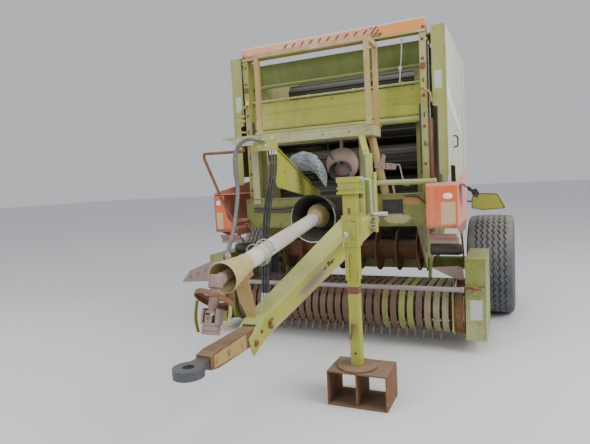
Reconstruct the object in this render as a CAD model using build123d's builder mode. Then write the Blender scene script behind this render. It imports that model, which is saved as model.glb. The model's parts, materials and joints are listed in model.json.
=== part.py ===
"""Round baler with a fixed chamber of rollers, parked on its jack, in millimetres.

X runs to the machine's left, Y runs backwards from the hitch to the tailgate and Z runs up.
The origin lies on the ground, midway between the hitch eye's tip and the back of the tailgate.
"""

import math
import os

from build123d import *

# Hitch, drawbar and tongue
EYE_Y = -1889.0
EYE_Z = 446.0
EYE_RADIUS = 68.0
EYE_BORE = 25.0
EYE_THICK = 40.0
SHANK_WIDTH = 64.0
TONGUE_FRONT_Y = -1780.0
CHEEK_THICK = 10.0
TONGUE_HEIGHT = 84.0
BEAM_FRONT_Y = -1275.0
BEAM_FRONT_TOP = 530.0
BEAM_FRONT_WIDTH = 100.0
BEAM_REAR_Y = -275.0
BEAM_REAR_TOP = 1120.0
BEAM_REAR_X = 427.0
BEAM_REAR_WIDTH = 200.0
BEAM_DEPTH = 125.0
BEAM_WALL = 9.0

# Bale chamber and its rollers
CHAMBER_Y = 1100.0
CHAMBER_Z = 1400.0
PITCH_RADIUS = 715.0
ROLLER_RADIUS = 100.0
FRONT_ROLLER_ANGLES = (102, 122, 142, 162, 182, 202, 238, 258)
TAIL_ROLLER_COUNT = 9
TAIL_ROLLER_FIRST = -81.0
TAIL_ROLLER_STEP = 20.25
WALL_X = 616.0
WALL_THICK = 8.0
SHELL_INNER = 835.0
SHELL_THICK = 5.0
SPLIT_Y = 1115.0
SPLIT_GAP = 30.0

# Front frame
POST_INNER_X = 673.0
POST_WIDTH = 43.0
POST_FRONT_Y = -5.0
POST_DEPTH = 25.0
POST_TOP = 2198.0
WEB_THICK = 8.0
WEB_BACK_Y = 158.0
HEAD_FRONT_Y = -75.0
HEAD_BACK_Y = 45.0
HEAD_BOTTOM = 872.0
HEAD_TOP = 1100.0
TOP_BEAM_HALF = 720.0
TOP_BEAM_HEIGHT = 98.0
TOP_BEAM_DEPTH = 60.0

# Tailgate pivot and its cylinders
HINGE_Y = 470.0
HINGE_Z = 2100.0
HINGE_PIN = 25.0
RUNNING_FIT = 0.08
SEAT = 0.3
ARM_X = 687.0
ARM_THICK = 16.0
LEVER_TIP_Y = 70.0
LEVER_TIP_Z = 2137.0
RAM_X = 721.0
RAM_Y = 65.0
RAM_Z = 1140.0
BARREL_RADIUS = 28.0
BARREL_START = 36.0
BARREL_LENGTH = 440.0
ROD_RADIUS = 14.0
RAM_PIN = 12.0

# Side covers
COVER_X = 843.0
COVER_INNER_X = 748.0
COVER_TOP = 2239.0
COVER_FRONT_Y = 25.0
COVER_BACK_Y = 1135.0
SHEET = 3.0
COVER_HINGE_Z = 2226.0
COVER_PIN = 6.0

# Wheels and axle
WHEEL_X = 1066.0
WHEEL_Y = 1070.0
TYRE_RADIUS = 425.0
TYRE_WIDTH = 368.0
RIM_RADIUS = 216.0
AXLE_SIZE = 100.0
STUB_RADIUS = 30.0

# Pick-up
REEL_Y = 60.0
REEL_Z = 265.0
BAND_RADIUS = 165.0
BAND_THICK = 3.0
BAND_WIDTH = 34.0
BAND_PITCH = 60.0
BAND_COUNT = 28
TINE_TIP_RADIUS = 245.0
TINE_BAR_RADIUS = 120.0
REAR_SHEET_Y = 325.0
LIFT_Y = 500.0
LIFT_Z = 520.0
END_BOX_X = (945.5, 1075.0)
END_BOX_Z = (96.0, 649.0)
END_BOX_FRONT_Y = -110.0
ROTOR_Y = 400.0
ROTOR_Z = 640.0
ROTOR_RADIUS = 170.0

# Platform and rail
DECK_FRONT_Y = -325.0
DECK_BACK_Y = -75.0
DECK_TOP = 1575.0
DECK_BOTTOM = 1505.0
DECK_LEFT_X = -750.0
DECK_RIGHT_X = 400.0
RAIL_TUBE = 32.0

# Jack and the box under its foot
JACK_X = 455.0
JACK_Y = -1000.0
JACK_TOP = 1160.0
JACK_OUTER = 80.0
JACK_LEG = 64.0
JACK_FIT = 0.6
JACK_ARM = 60.0
JACK_ARM_Z = 868.0
LEG_TOP = 835.0
FOOT_RADIUS = 108.0
FOOT_THICK = 12.0
BOX_HEIGHT = 190.0
BOX_FRONT_Y = -1108.0
BOX_DEPTH = 235.0
BOX_X = (312.0, 642.0)
BOX_WALL = 8.0

# Drive line
SHAFT_FRONT = (0.0, -1580.0, 785.0)
SHAFT_BACK = (0.0, -300.0, 980.0)
SHAFT_RADIUS = 46.0
GEARBOX_FRONT_Y = -255.0

PIECES = {}


def keep(label, builder):
    """Notes a finished piece under its name."""
    PIECES[label] = builder


def slab_x(x_low, x_high, outline):
    """Extrudes a closed outline of (y, z) points between two X planes."""
    with BuildSketch(Plane.YZ.offset(x_low)) as profile:
        with BuildLine():
            Polyline(*outline, close=True)
        make_face()
    extrude(profile.sketch, amount=x_high - x_low)


def slab_y(y_low, y_high, outline):
    """Extrudes a closed outline of (x, z) points between two Y planes."""
    with BuildSketch(Plane.XZ.offset(-y_low)) as profile:
        with BuildLine():
            Polyline(*outline, close=True)
        make_face()
    extrude(profile.sketch, amount=y_low - y_high)


def block(low, high, mode=Mode.ADD):
    """Adds or cuts the box between two corners."""
    size = [b - a for a, b in zip(low, high)]
    with Locations(low):
        Box(*size, align=(Align.MIN, Align.MIN, Align.MIN), mode=mode)


def rod_x(x_low, x_high, y, z, radius, mode=Mode.ADD):
    """Adds or cuts a round bar along X."""
    with BuildSketch(Plane.YZ.offset(x_low)) as section:
        with Locations((y, z)):
            Circle(radius)
    extrude(section.sketch, amount=x_high - x_low, mode=mode)


def rod_between(start, end, radius):
    """Adds a round bar between two points."""
    a, b = Vector(*start), Vector(*end)
    with BuildSketch(Plane(origin=a, z_dir=b - a)) as section:
        Circle(radius)
    extrude(section.sketch, amount=(b - a).length)


def on_circle(angle, radius=PITCH_RADIUS):
    """Gives the (y, z) of a point of the chamber's circle."""
    turn = math.radians(angle)
    return CHAMBER_Y + radius * math.cos(turn), CHAMBER_Z + radius * math.sin(turn)


# Side frames: chamber wall, front web, post and cover rail
rail_x = (POST_INNER_X + POST_WIDTH - 8, POST_INNER_X + POST_WIDTH + 22)
with BuildPart() as frame_left:
    wall_outline = [
        (WEB_BACK_Y - WEB_THICK, 2170),
        (WEB_BACK_Y - WEB_THICK, HEAD_TOP),
        (HEAD_BACK_Y, HEAD_TOP),
        (HEAD_BACK_Y, HEAD_BOTTOM),
        (330, 560),
        (LIFT_Y - 70, LIFT_Z - 60),
        (LIFT_Y + 70, LIFT_Z - 60),
        (900, 560),
        (WHEEL_Y - 60, TYRE_RADIUS - AXLE_SIZE / 2),
        (SPLIT_Y, TYRE_RADIUS - AXLE_SIZE / 2),
        (SPLIT_Y, 2228),
        (300, 2228),
    ]
    slab_x(WALL_X - WALL_THICK, WALL_X, wall_outline)
    block(
        (WALL_X - WALL_THICK, WEB_BACK_Y - WEB_THICK, HEAD_TOP),
        (POST_INNER_X + WEB_THICK, WEB_BACK_Y, 2170),
    )
    block(
        (POST_INNER_X, POST_FRONT_Y + POST_DEPTH, HEAD_TOP),
        (POST_INNER_X + WEB_THICK, WEB_BACK_Y, POST_TOP),
    )
    block(
        (POST_INNER_X, POST_FRONT_Y, HEAD_TOP),
        (POST_INNER_X + POST_WIDTH, POST_FRONT_Y + POST_DEPTH, POST_TOP),
    )
    block((rail_x[0], POST_FRONT_Y + POST_DEPTH, POST_TOP - 14), (rail_x[1], SPLIT_Y, POST_TOP))
    block((POST_INNER_X, 60, POST_TOP - 14), (rail_x[0], 90, POST_TOP))
    for y in (150.0, 1000.0):
        block((rail_x[1] - 8, y, POST_TOP - 12), (COVER_INNER_X + 9, y + 10, POST_TOP))
        block((COVER_INNER_X - 9, y, POST_TOP - 12), (COVER_INNER_X + 9, y + 10, COVER_HINGE_Z))
        with BuildSketch(Plane.XZ.offset(-y)):
            with Locations((COVER_INNER_X, COVER_HINGE_Z)):
                Circle(9)
        extrude(amount=-10)
        with BuildSketch(Plane.XZ.offset(-(y + 10))):
            with Locations((COVER_INNER_X, COVER_HINGE_Z)):
                Circle(COVER_PIN)
        extrude(amount=-30)
    rod_x(WALL_X, ARM_X + ARM_THICK + 6, HINGE_Y, HINGE_Z, HINGE_PIN)
    rod_x(WALL_X, WALL_X + 22, LIFT_Y, LIFT_Z, HINGE_PIN)
    rod_x(WALL_X - WALL_THICK - 1, WALL_X + 1, ROTOR_Y, ROTOR_Z, 31, mode=Mode.SUBTRACT)
keep("frame_left", frame_left)
with BuildPart() as frame_right:
    mirror(frame_left.part, about=Plane.YZ)
keep("frame_right", frame_right)

# Head beam across the front, with the lugs of the tailgate cylinders
with BuildPart() as head_beam:
    half = POST_INNER_X + POST_WIDTH
    block((-half, HEAD_FRONT_Y, HEAD_BOTTOM), (half, HEAD_BACK_Y, HEAD_TOP))
    for side in (-1, 1):
        x_in = side * (half - 20)
        x_out = side * (RAM_X + 27)
        block(
            (min(x_in, x_out), 30, HEAD_TOP - 60),
            (max(x_in, x_out), 100, HEAD_TOP),
        )
        for ear in (RAM_X - 21, RAM_X + 13):
            low = min(side * ear, side * (ear + 8))
            block((low, 40, HEAD_TOP), (low + 8, 90, RAM_Z + 18))
        low = min(side * (RAM_X - 21), side * (RAM_X + 21))
        rod_x(low, low + 42, RAM_Y, RAM_Z, RAM_PIN)
keep("head_beam", head_beam)

# Top beam
with BuildPart() as top_beam:
    block(
        (-TOP_BEAM_HALF, POST_FRONT_Y - 3, POST_TOP),
        (TOP_BEAM_HALF, POST_FRONT_Y - 3 + TOP_BEAM_DEPTH, POST_TOP + TOP_BEAM_HEIGHT),
    )
keep("top_beam", top_beam)

# Front sheets between the posts
with BuildPart() as hood_sheet:
    block((-POST_INNER_X, 125, 2015), (POST_INNER_X, 131, 2178))
    block((-POST_INNER_X, 70, 1980), (POST_INNER_X, 90, 1996))
keep("hood_sheet", hood_sheet)

with BuildPart() as front_apron:
    slab_x(
        -POST_INNER_X,
        POST_INNER_X,
        [
            (60, 1862),
            (66, 1862),
            (66, 1726),
            (46, 1716),
            (46, 1662),
            (66, 1652),
            (60, 1648),
            (36, 1657),
            (36, 1721),
            (60, 1730),
        ],
    )
keep("front_apron", front_apron)

with BuildPart() as front_tubes:
    rod_x(-POST_INNER_X, POST_INNER_X, 45, 1876, 9)
    rod_x(-POST_INNER_X, POST_INNER_X, 48, 1622, 24)
keep("front_tubes", front_tubes)

# Chamber rollers, with their shafts between the walls
inner = WALL_X - WALL_THICK
with BuildPart() as front_rollers:
    for angle in FRONT_ROLLER_ANGLES:
        rod_x(-inner, inner, *on_circle(angle), ROLLER_RADIUS)
keep("front_rollers", front_rollers)

with BuildPart() as tail_rollers:
    for i in range(TAIL_ROLLER_COUNT):
        angle = TAIL_ROLLER_FIRST + i * TAIL_ROLLER_STEP
        rod_x(-inner, inner, *on_circle(angle), ROLLER_RADIUS)
keep("tail_rollers", tail_rollers)

# Tailgate walls and curved shell
tail_y = SPLIT_Y + SPLIT_GAP
edge_turn = math.degrees(math.acos((tail_y - CHAMBER_Y) / SHELL_INNER))
with BuildPart() as tailgate_walls:
    with BuildSketch(Plane.YZ.offset(inner)):
        with BuildLine():
            top = on_circle(edge_turn, SHELL_INNER)
            low = on_circle(-edge_turn, SHELL_INNER)
            ThreePointArc(top, on_circle(0, SHELL_INNER), low)
            Line(low, top)
        make_face()
    extrude(amount=WALL_THICK)
    mirror(about=Plane.YZ)
keep("tailgate_walls", tailgate_walls)

with BuildPart() as tailgate_shell:
    outer = SHELL_INNER + SHELL_THICK
    with BuildSketch(Plane.YZ.offset(-WALL_X)):
        with BuildLine():
            a, b = on_circle(edge_turn, SHELL_INNER), on_circle(edge_turn, outer)
            c, d = on_circle(-edge_turn, outer), on_circle(-edge_turn, SHELL_INNER)
            ThreePointArc(b, on_circle(0, outer), c)
            Line(c, d)
            ThreePointArc(d, on_circle(0, SHELL_INNER), a)
            Line(a, b)
        make_face()
    extrude(amount=2 * WALL_X)
    block((-500, 1915, 1180), (500, 1957, 1260))
keep("tailgate_shell", tailgate_shell)

# Tailgate arms: from the levers at the cylinders over the pivot to the tailgate's walls
with BuildPart() as tailgate_arms:
    slab_x(
        ARM_X,
        ARM_X + ARM_THICK,
        [
            (LEVER_TIP_Y - 28, LEVER_TIP_Z - 20),
            (LEVER_TIP_Y - 20, LEVER_TIP_Z + 25),
            (HINGE_Y, HINGE_Z + 62),
            (1350, HINGE_Z + 10),
            (1350, HINGE_Z - 180),
            (1250, HINGE_Z - 180),
            (1100, HINGE_Z - 60),
            (HINGE_Y, HINGE_Z - 62),
            (LEVER_TIP_Y + 10, LEVER_TIP_Z - 28),
        ],
    )
    rod_x(ARM_X - 1, ARM_X + ARM_THICK + 1, HINGE_Y, HINGE_Z, HINGE_PIN + RUNNING_FIT, Mode.SUBTRACT)
    block((WALL_X, 1200, HINGE_Z - 150), (ARM_X, 1330, HINGE_Z - 10))
    mirror(about=Plane.YZ)
keep("tailgate_arms", tailgate_arms)

with BuildPart() as tailgate_covers:
    slab_x(
        ARM_X + ARM_THICK,
        COVER_X,
        [
            (COVER_BACK_Y + 25, COVER_TOP),
            (1360, COVER_TOP - 10),
            (1400, COVER_TOP - 60),
            (1400, 1020),
            (1360, 960),
            (COVER_BACK_Y + 25, 960),
        ],
    )
    block((ARM_X + ARM_THICK - 1, 1150, 1000), (COVER_X - SHEET, 1400 - SHEET, 2200), Mode.SUBTRACT)
    block((WALL_X, 1180, 1060), (COVER_X - SHEET, 1220, 1100))
    block((ARM_X + ARM_THICK, 1300, 2000), (COVER_X - SHEET, 1340, 2040))
    mirror(about=Plane.YZ)
keep("tailgate_covers", tailgate_covers)

# Tailgate cylinders
ram_dy = LEVER_TIP_Y - RAM_Y
ram_dz = LEVER_TIP_Z - RAM_Z
ram_length = math.hypot(ram_dy, ram_dz)
ram_plane = Plane(origin=(RAM_X, RAM_Y, RAM_Z), x_dir=(1, 0, 0), z_dir=(0, ram_dy, ram_dz))
with BuildPart() as ram_barrel_left:
    rod_x(RAM_X - 11, RAM_X + 11, RAM_Y, RAM_Z, 22)
    with BuildSketch(ram_plane.offset(15)):
        Circle(RAM_PIN)
    extrude(amount=BARREL_START)
    with BuildSketch(ram_plane.offset(BARREL_START)):
        Circle(BARREL_RADIUS)
    extrude(amount=BARREL_LENGTH)
    with BuildSketch(ram_plane.offset(BARREL_START + 42)):
        Circle(ROD_RADIUS + 0.5)
    extrude(amount=BARREL_LENGTH, mode=Mode.SUBTRACT)
    rod_x(RAM_X - 12, RAM_X + 12, RAM_Y, RAM_Z, RAM_PIN + RUNNING_FIT, Mode.SUBTRACT)
keep("ram_barrel_left", ram_barrel_left)
with BuildPart() as ram_rod_left:
    with BuildSketch(ram_plane.offset(BARREL_START + BARREL_LENGTH - 50)):
        Circle(ROD_RADIUS)
    extrude(amount=ram_length - BARREL_START - BARREL_LENGTH + 40)
    rod_x(RAM_X - 12, RAM_X + 12, LEVER_TIP_Y, LEVER_TIP_Z, 24)
    rod_x(ARM_X + ARM_THICK + 1, RAM_X, LEVER_TIP_Y, LEVER_TIP_Z, 12)
keep("ram_rod_left", ram_rod_left)
with BuildPart() as ram_barrel_right:
    mirror(ram_barrel_left.part, about=Plane.YZ)
keep("ram_barrel_right", ram_barrel_right)
with BuildPart() as ram_rod_right:
    mirror(ram_rod_left.part, about=Plane.YZ)
keep("ram_rod_right", ram_rod_right)

# Side covers
with BuildPart() as side_cover_left:
    slab_x(
        COVER_X - SHEET,
        COVER_X,
        [
            (COVER_FRONT_Y, 1217),
            (130, 1285),
            (450, 1285),
            (480, 1100),
            (COVER_BACK_Y, 1100),
            (COVER_BACK_Y, COVER_TOP),
            (COVER_FRONT_Y, COVER_TOP),
        ],
    )
    slab_y(
        COVER_FRONT_Y,
        COVER_FRONT_Y + SHEET,
        [
            (COVER_INNER_X, COVER_TOP),
            (COVER_INNER_X, 1700),
            (COVER_INNER_X + 34, 1690),
            (COVER_INNER_X + 34, 1240),
            (COVER_INNER_X + 45, 1217),
            (COVER_X, 1217),
            (COVER_X, COVER_TOP),
        ],
    )
    block((COVER_INNER_X, COVER_FRONT_Y, COVER_TOP - SHEET), (COVER_X, COVER_BACK_Y, COVER_TOP))
    block((COVER_INNER_X + 45, COVER_BACK_Y - SHEET, 1100), (COVER_X, COVER_BACK_Y, COVER_TOP))
    for y in (161.0, 1011.0):
        with BuildSketch(Plane.XZ.offset(-y)):
            with Locations((COVER_INNER_X, COVER_HINGE_Z)):
                Circle(COVER_PIN + 5)
                Circle(COVER_PIN + RUNNING_FIT, mode=Mode.SUBTRACT)
        extrude(amount=-28)
keep("side_cover_left", side_cover_left)
with BuildPart() as side_cover_right:
    mirror(side_cover_left.part, about=Plane.YZ)
keep("side_cover_right", side_cover_right)

# Axle
with BuildPart() as axle_beam:
    half_beam = WALL_X - WALL_THICK
    low = TYRE_RADIUS - AXLE_SIZE / 2
    block((-half_beam, WHEEL_Y - AXLE_SIZE / 2, low), (half_beam, SPLIT_Y, low + AXLE_SIZE))
    for side in (-1, 1):
        start = min(side * WALL_X, side * 840)
        block(
            (start, WHEEL_Y - AXLE_SIZE / 2, low),
            (start + 840 - WALL_X, SPLIT_Y, low + AXLE_SIZE),
        )
        start = min(side * 840, side * (WHEEL_X + 70))
        rod_x(start, start + WHEEL_X + 70 - 840, WHEEL_Y, TYRE_RADIUS, STUB_RADIUS)
keep("axle_beam", axle_beam)

# Wheels
wheel_plane = Plane(origin=(WHEEL_X, WHEEL_Y, TYRE_RADIUS), x_dir=(1, 0, 0), z_dir=(0, -1, 0))
wheel_axis = Axis((WHEEL_X, WHEEL_Y, TYRE_RADIUS), (1, 0, 0))
half_tyre = TYRE_WIDTH / 2
with BuildPart() as tyre_left:
    with BuildSketch(wheel_plane):
        with BuildLine():
            Polyline(
                (-half_tyre + 45, RIM_RADIUS + 0.3),
                (-half_tyre + 14, RIM_RADIUS + 40),
                (-half_tyre, RIM_RADIUS + 105),
                (-half_tyre + 8, TYRE_RADIUS - 30),
                (-half_tyre + 34, TYRE_RADIUS - 6),
                (-60, TYRE_RADIUS),
                (60, TYRE_RADIUS),
                (half_tyre - 34, TYRE_RADIUS - 6),
                (half_tyre - 8, TYRE_RADIUS - 30),
                (half_tyre, RIM_RADIUS + 105),
                (half_tyre - 14, RIM_RADIUS + 40),
                (half_tyre - 45, RIM_RADIUS + 0.3),
                close=True,
            )
        make_face()
    revolve(axis=wheel_axis)
keep("tyre_left", tyre_left)
with BuildPart() as rim_left:
    with BuildSketch(wheel_plane):
        with BuildLine():
            Polyline(
                (-150, RIM_RADIUS),
                (-150, RIM_RADIUS - 8),
                (20, RIM_RADIUS - 22),
                (20, 110),
                (-10, 95),
                (-10, STUB_RADIUS + RUNNING_FIT),
                (60, STUB_RADIUS + RUNNING_FIT),
                (60, 55),
                (30, 60),
                (32, RIM_RADIUS - 22),
                (150, RIM_RADIUS - 8),
                (150, RIM_RADIUS),
                close=True,
            )
        make_face()
    revolve(axis=wheel_axis)
keep("rim_left", rim_left)
with BuildPart() as tyre_right:
    mirror(tyre_left.part, about=Plane.YZ)
keep("tyre_right", tyre_right)
with BuildPart() as rim_right:
    mirror(rim_left.part, about=Plane.YZ)
keep("rim_right", rim_right)

# Drawbar: tapered channel, cheeks and head
with BuildPart() as drawbar:
    half_front = BEAM_FRONT_WIDTH / 2
    half_rear = BEAM_REAR_WIDTH / 2
    for inset, mode in ((0.0, Mode.ADD), (BEAM_WALL, Mode.SUBTRACT)):
        drop = 40 if inset else 0
        with BuildSketch(Plane.XZ.offset(-BEAM_FRONT_Y)):
            with Locations((0, BEAM_FRONT_TOP - inset)):
                Rectangle(
                    2 * (half_front - inset),
                    BEAM_DEPTH - inset + drop,
                    align=(Align.CENTER, Align.MAX),
                )
        with BuildSketch(Plane.XZ.offset(-BEAM_REAR_Y)):
            with Locations((BEAM_REAR_X, BEAM_REAR_TOP - inset)):
                Rectangle(
                    2 * (half_rear - inset),
                    BEAM_DEPTH - inset + drop,
                    align=(Align.CENTER, Align.MAX),
                )
        loft(mode=mode)
    block(
        (BEAM_REAR_X - half_rear, BEAM_REAR_Y, HEAD_BOTTOM),
        (BEAM_REAR_X + half_rear, HEAD_FRONT_Y, BEAM_REAR_TOP),
    )
    for side in (-1, 1):
        x_low = min(side * (half_front - CHEEK_THICK), side * half_front)
        slab_x(
            x_low,
            x_low + CHEEK_THICK,
            [
                (BEAM_FRONT_Y, BEAM_FRONT_TOP),
                (BEAM_FRONT_Y - 60, BEAM_FRONT_TOP - 34),
                (BEAM_FRONT_Y - 130, 372),
                (BEAM_FRONT_Y - 95, 360),
                (BEAM_FRONT_Y + 40, BEAM_FRONT_TOP - BEAM_DEPTH),
            ],
        )
    block(
        (JACK_X - JACK_ARM / 2, JACK_Y + JACK_OUTER / 2, JACK_ARM_Z),
        (JACK_X + JACK_ARM / 2, -455, JACK_ARM_Z + 80),
    )
keep("drawbar", drawbar)

with BuildPart() as drawbar_tongue:
    half_tongue = BEAM_FRONT_WIDTH / 2 - CHEEK_THICK
    block(
        (-half_tongue, TONGUE_FRONT_Y, EYE_Z - TONGUE_HEIGHT / 2),
        (half_tongue, BEAM_FRONT_Y, EYE_Z + TONGUE_HEIGHT / 2),
    )
keep("drawbar_tongue", drawbar_tongue)

with BuildPart() as hitch_eye:
    with BuildSketch(Plane.XY.offset(EYE_Z - EYE_THICK / 2)):
        with Locations((0, EYE_Y)):
            Circle(EYE_RADIUS)
        with Locations((0, (EYE_Y + TONGUE_FRONT_Y) / 2)):
            Rectangle(SHANK_WIDTH, TONGUE_FRONT_Y - EYE_Y)
        with Locations((0, EYE_Y)):
            Circle(EYE_BORE, mode=Mode.SUBTRACT)
    extrude(amount=EYE_THICK)
keep("hitch_eye", hitch_eye)

# Gearbox and drive line
shaft_axis = Vector(*SHAFT_BACK) - Vector(*SHAFT_FRONT)
with BuildPart() as gearbox:
    block((-120, GEARBOX_FRONT_Y, 872), (120, HEAD_FRONT_Y, 1088))
    rod_between(SHAFT_BACK, Vector(*SHAFT_BACK) + shaft_axis.normalized() * 60, 20)
keep("gearbox", gearbox)

shaft_plane = Plane(origin=SHAFT_FRONT, x_dir=(1, 0, 0), z_dir=shaft_axis)
shaft_length = shaft_axis.length
with BuildPart() as pto_bell:
    with BuildSketch(Plane.XZ.offset(-GEARBOX_FRONT_Y)):
        with Locations((0, 975)):
            Circle(125)
            Circle(95, mode=Mode.SUBTRACT)
    with BuildSketch(Plane.XZ.offset(430)):
        with Locations((0, 965)):
            Circle(165)
            Circle(158, mode=Mode.SUBTRACT)
    loft()
keep("pto_bell", pto_bell)

with BuildPart() as pto_shaft:
    with BuildSketch(shaft_plane):
        Circle(SHAFT_RADIUS)
    extrude(amount=shaft_length)
keep("pto_shaft", pto_shaft)

with BuildPart() as pto_guard:
    with BuildSketch(shaft_plane.offset(-40)):
        Circle(77)
        Circle(SHAFT_RADIUS + SEAT, mode=Mode.SUBTRACT)
    extrude(amount=60)
keep("pto_guard", pto_guard)

with BuildPart() as pto_yoke:
    joint = Vector(*SHAFT_FRONT) - shaft_axis.normalized() * 70
    rod_between(SHAFT_FRONT, joint, 28)
    rod_between(joint, (0, -1725, 610), 40)
keep("pto_yoke", pto_yoke)

with BuildPart() as pto_stand:
    slab_x(-50, 50, [(-1262, 538.3), (-1250, 545.5), (-1250, 788.4), (-1262, 786.6)])
keep("pto_stand", pto_stand)

# Platform and handrail
with BuildPart() as platform:
    slab_y(
        DECK_FRONT_Y,
        DECK_BACK_Y,
        [
            (DECK_LEFT_X, DECK_TOP),
            (DECK_LEFT_X + 160, DECK_BOTTOM),
            (DECK_RIGHT_X, DECK_BOTTOM),
            (DECK_RIGHT_X, DECK_TOP),
        ],
    )
    for x in (-640.0, 240.0):
        block((x, DECK_BACK_Y - 8, HEAD_TOP), (x + 60, DECK_BACK_Y, DECK_TOP - 60))
        block((x, DECK_BACK_Y - 8, HEAD_TOP - 40), (x + 60, HEAD_FRONT_Y, HEAD_TOP))
keep("platform", platform)

with BuildPart() as handrail:
    half_tube = RAIL_TUBE / 2
    for x, y, top in ((-429, -309, 2150), (384, -309, 2150), (384, -95, 2150)):
        block((x - half_tube, y - half_tube, DECK_TOP), (x + half_tube, y + half_tube, top))
    block((-429 - half_tube, -309 - half_tube, 2118), (384 + half_tube, -309 + half_tube, 2150))
    block((384 - half_tube, -309, 2118), (384 + half_tube, -95, 2150))
keep("handrail", handrail)

# Corner guards
with BuildPart() as guard_left:
    block((730, -226, 875), (922, -221, 1164))
    slab_x(
        917,
        922,
        [(-226, 875), (-226, 1164), (435, 1262), (435, 905), (300, 812), (-60, 812)],
    )
    block((716, -45, 900), (917, -5, 950))
    block((730, -185, 800), (907, -165, 826))
    block((730, -221, 826), (738, -5, 900))
keep("guard_left", guard_left)
with BuildPart() as guard_right:
    mirror(guard_left.part, about=Plane.YZ)
keep("guard_right", guard_right)

# Mudguards
with BuildPart() as mudguards:
    slab_y(
        625,
        825,
        [(937, 1000), (1000, 1060), (1130, 1060), (1186, 1000), (1180, 994), (1126, 1054), (1004, 1054), (943, 994)],
    )
    stay_x = 826
    slab_x(
        stay_x,
        stay_x + 10,
        [(690, 960), (690, 994), (750, 994), (1080, 520), (1080, 475), (1030, 475), (1030, 510)],
    )
    block((stay_x, 700, 984), (945, 740, 1000))
    mirror(about=Plane.YZ)
keep("mudguards", mudguards)

# Jack
half_outer = JACK_OUTER / 2
half_leg = JACK_LEG / 2
with BuildPart() as jack_sleeve:
    block(
        (JACK_X - half_outer, JACK_Y - half_outer, 617),
        (JACK_X + half_outer, JACK_Y + half_outer, JACK_TOP),
    )
    hole = half_leg + JACK_FIT
    block(
        (JACK_X - hole, JACK_Y - hole, 600),
        (JACK_X + hole, JACK_Y + hole, JACK_TOP - 12),
        Mode.SUBTRACT,
    )
    block((JACK_X - 58, JACK_Y - 58, JACK_TOP), (JACK_X + 58, JACK_Y + 58, JACK_TOP + 12))
keep("jack_sleeve", jack_sleeve)

with BuildPart() as jack_leg:
    block(
        (JACK_X - half_leg, JACK_Y - half_leg, BOX_HEIGHT + FOOT_THICK),
        (JACK_X + half_leg, JACK_Y + half_leg, LEG_TOP),
    )
    with BuildSketch(Plane.XY.offset(BOX_HEIGHT)):
        with Locations((JACK_X, JACK_Y)):
            Circle(FOOT_RADIUS)
    extrude(amount=FOOT_THICK)
keep("jack_leg", jack_leg)

with BuildPart() as support_box:
    block((BOX_X[0], BOX_FRONT_Y, 0), (BOX_X[1], BOX_FRONT_Y + BOX_DEPTH, BOX_HEIGHT))
    mid = (BOX_X[0] + BOX_X[1]) / 2
    for low, high in ((BOX_X[0] + BOX_WALL, mid - 4), (mid + 4, BOX_X[1] - BOX_WALL)):
        block(
            (low, BOX_FRONT_Y - 1, BOX_WALL),
            (high, BOX_FRONT_Y + BOX_DEPTH + 1, BOX_HEIGHT - BOX_WALL),
            Mode.SUBTRACT,
        )
keep("support_box", support_box)

# Pick-up
with BuildPart() as pickup_frame:
    for side in (-1, 1):
        x_low = min(side * END_BOX_X[0], side * END_BOX_X[1])
        block(
            (x_low, END_BOX_FRONT_Y, END_BOX_Z[0]),
            (x_low + END_BOX_X[1] - END_BOX_X[0], REAR_SHEET_Y + 66, END_BOX_Z[1]),
        )
        x_low = min(side * 622, side * 634)
        slab_x(
            x_low,
            x_low + 12,
            [
                (REAR_SHEET_Y + 66, 290),
                (REAR_SHEET_Y + 66, 350),
                (LIFT_Y - 45, LIFT_Z + 40),
                (LIFT_Y + 45, LIFT_Z + 40),
                (LIFT_Y + 45, LIFT_Z - 45),
                (REAR_SHEET_Y + 120, 290),
            ],
        )
        rod_x(x_low - 1, x_low + 13, LIFT_Y, LIFT_Z, HINGE_PIN + RUNNING_FIT, Mode.SUBTRACT)
    block((-END_BOX_X[0], REAR_SHEET_Y + 6, 290), (END_BOX_X[0], REAR_SHEET_Y + 66, 350))
    for side in (-1, 1):
        x_low = min(side * 858, side * 866)
        slab_x(
            x_low,
            x_low + 8,
            [
                (-120, 150),
                (-120, 400),
                (0, 500),
                (REAR_SHEET_Y + 6, 500),
                (REAR_SHEET_Y + 6, 120),
                (0, 90),
            ],
        )
        rod_x(x_low - 1, x_low + 9, REEL_Y, REEL_Z, 20 + RUNNING_FIT, Mode.SUBTRACT)
keep("pickup_frame", pickup_frame)

with BuildPart() as pickup_reel:
    rod_x(-850, 850, REEL_Y, REEL_Z, 40)
    rod_x(-870, 870, REEL_Y, REEL_Z, 20)
    for x in (-848.0, 842.0):
        rod_x(x, x + 6, REEL_Y, REEL_Z, TINE_BAR_RADIUS + 14)
    reel_axis = Axis((0, REEL_Y, REEL_Z), (1, 0, 0))
    for k in range(4):
        turn = math.radians(45 + 90 * k)
        out = (0, math.cos(turn), math.sin(turn))
        normal = (0, -math.sin(turn), math.cos(turn))
        comb_plane = Plane(origin=(0, REEL_Y, REEL_Z), x_dir=(1, 0, 0), z_dir=Vector(1, 0, 0).cross(Vector(*out)))
        with BuildSketch(comb_plane):
            with Locations((0, TINE_BAR_RADIUS)):
                Rectangle(1690, 24)
            with Locations(*[(BAND_PITCH * (i - 13), (TINE_BAR_RADIUS + TINE_TIP_RADIUS) / 2) for i in range(27)]):
                Rectangle(8, TINE_TIP_RADIUS - TINE_BAR_RADIUS)
        extrude(amount=4, both=True)
keep("pickup_reel", pickup_reel)

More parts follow.
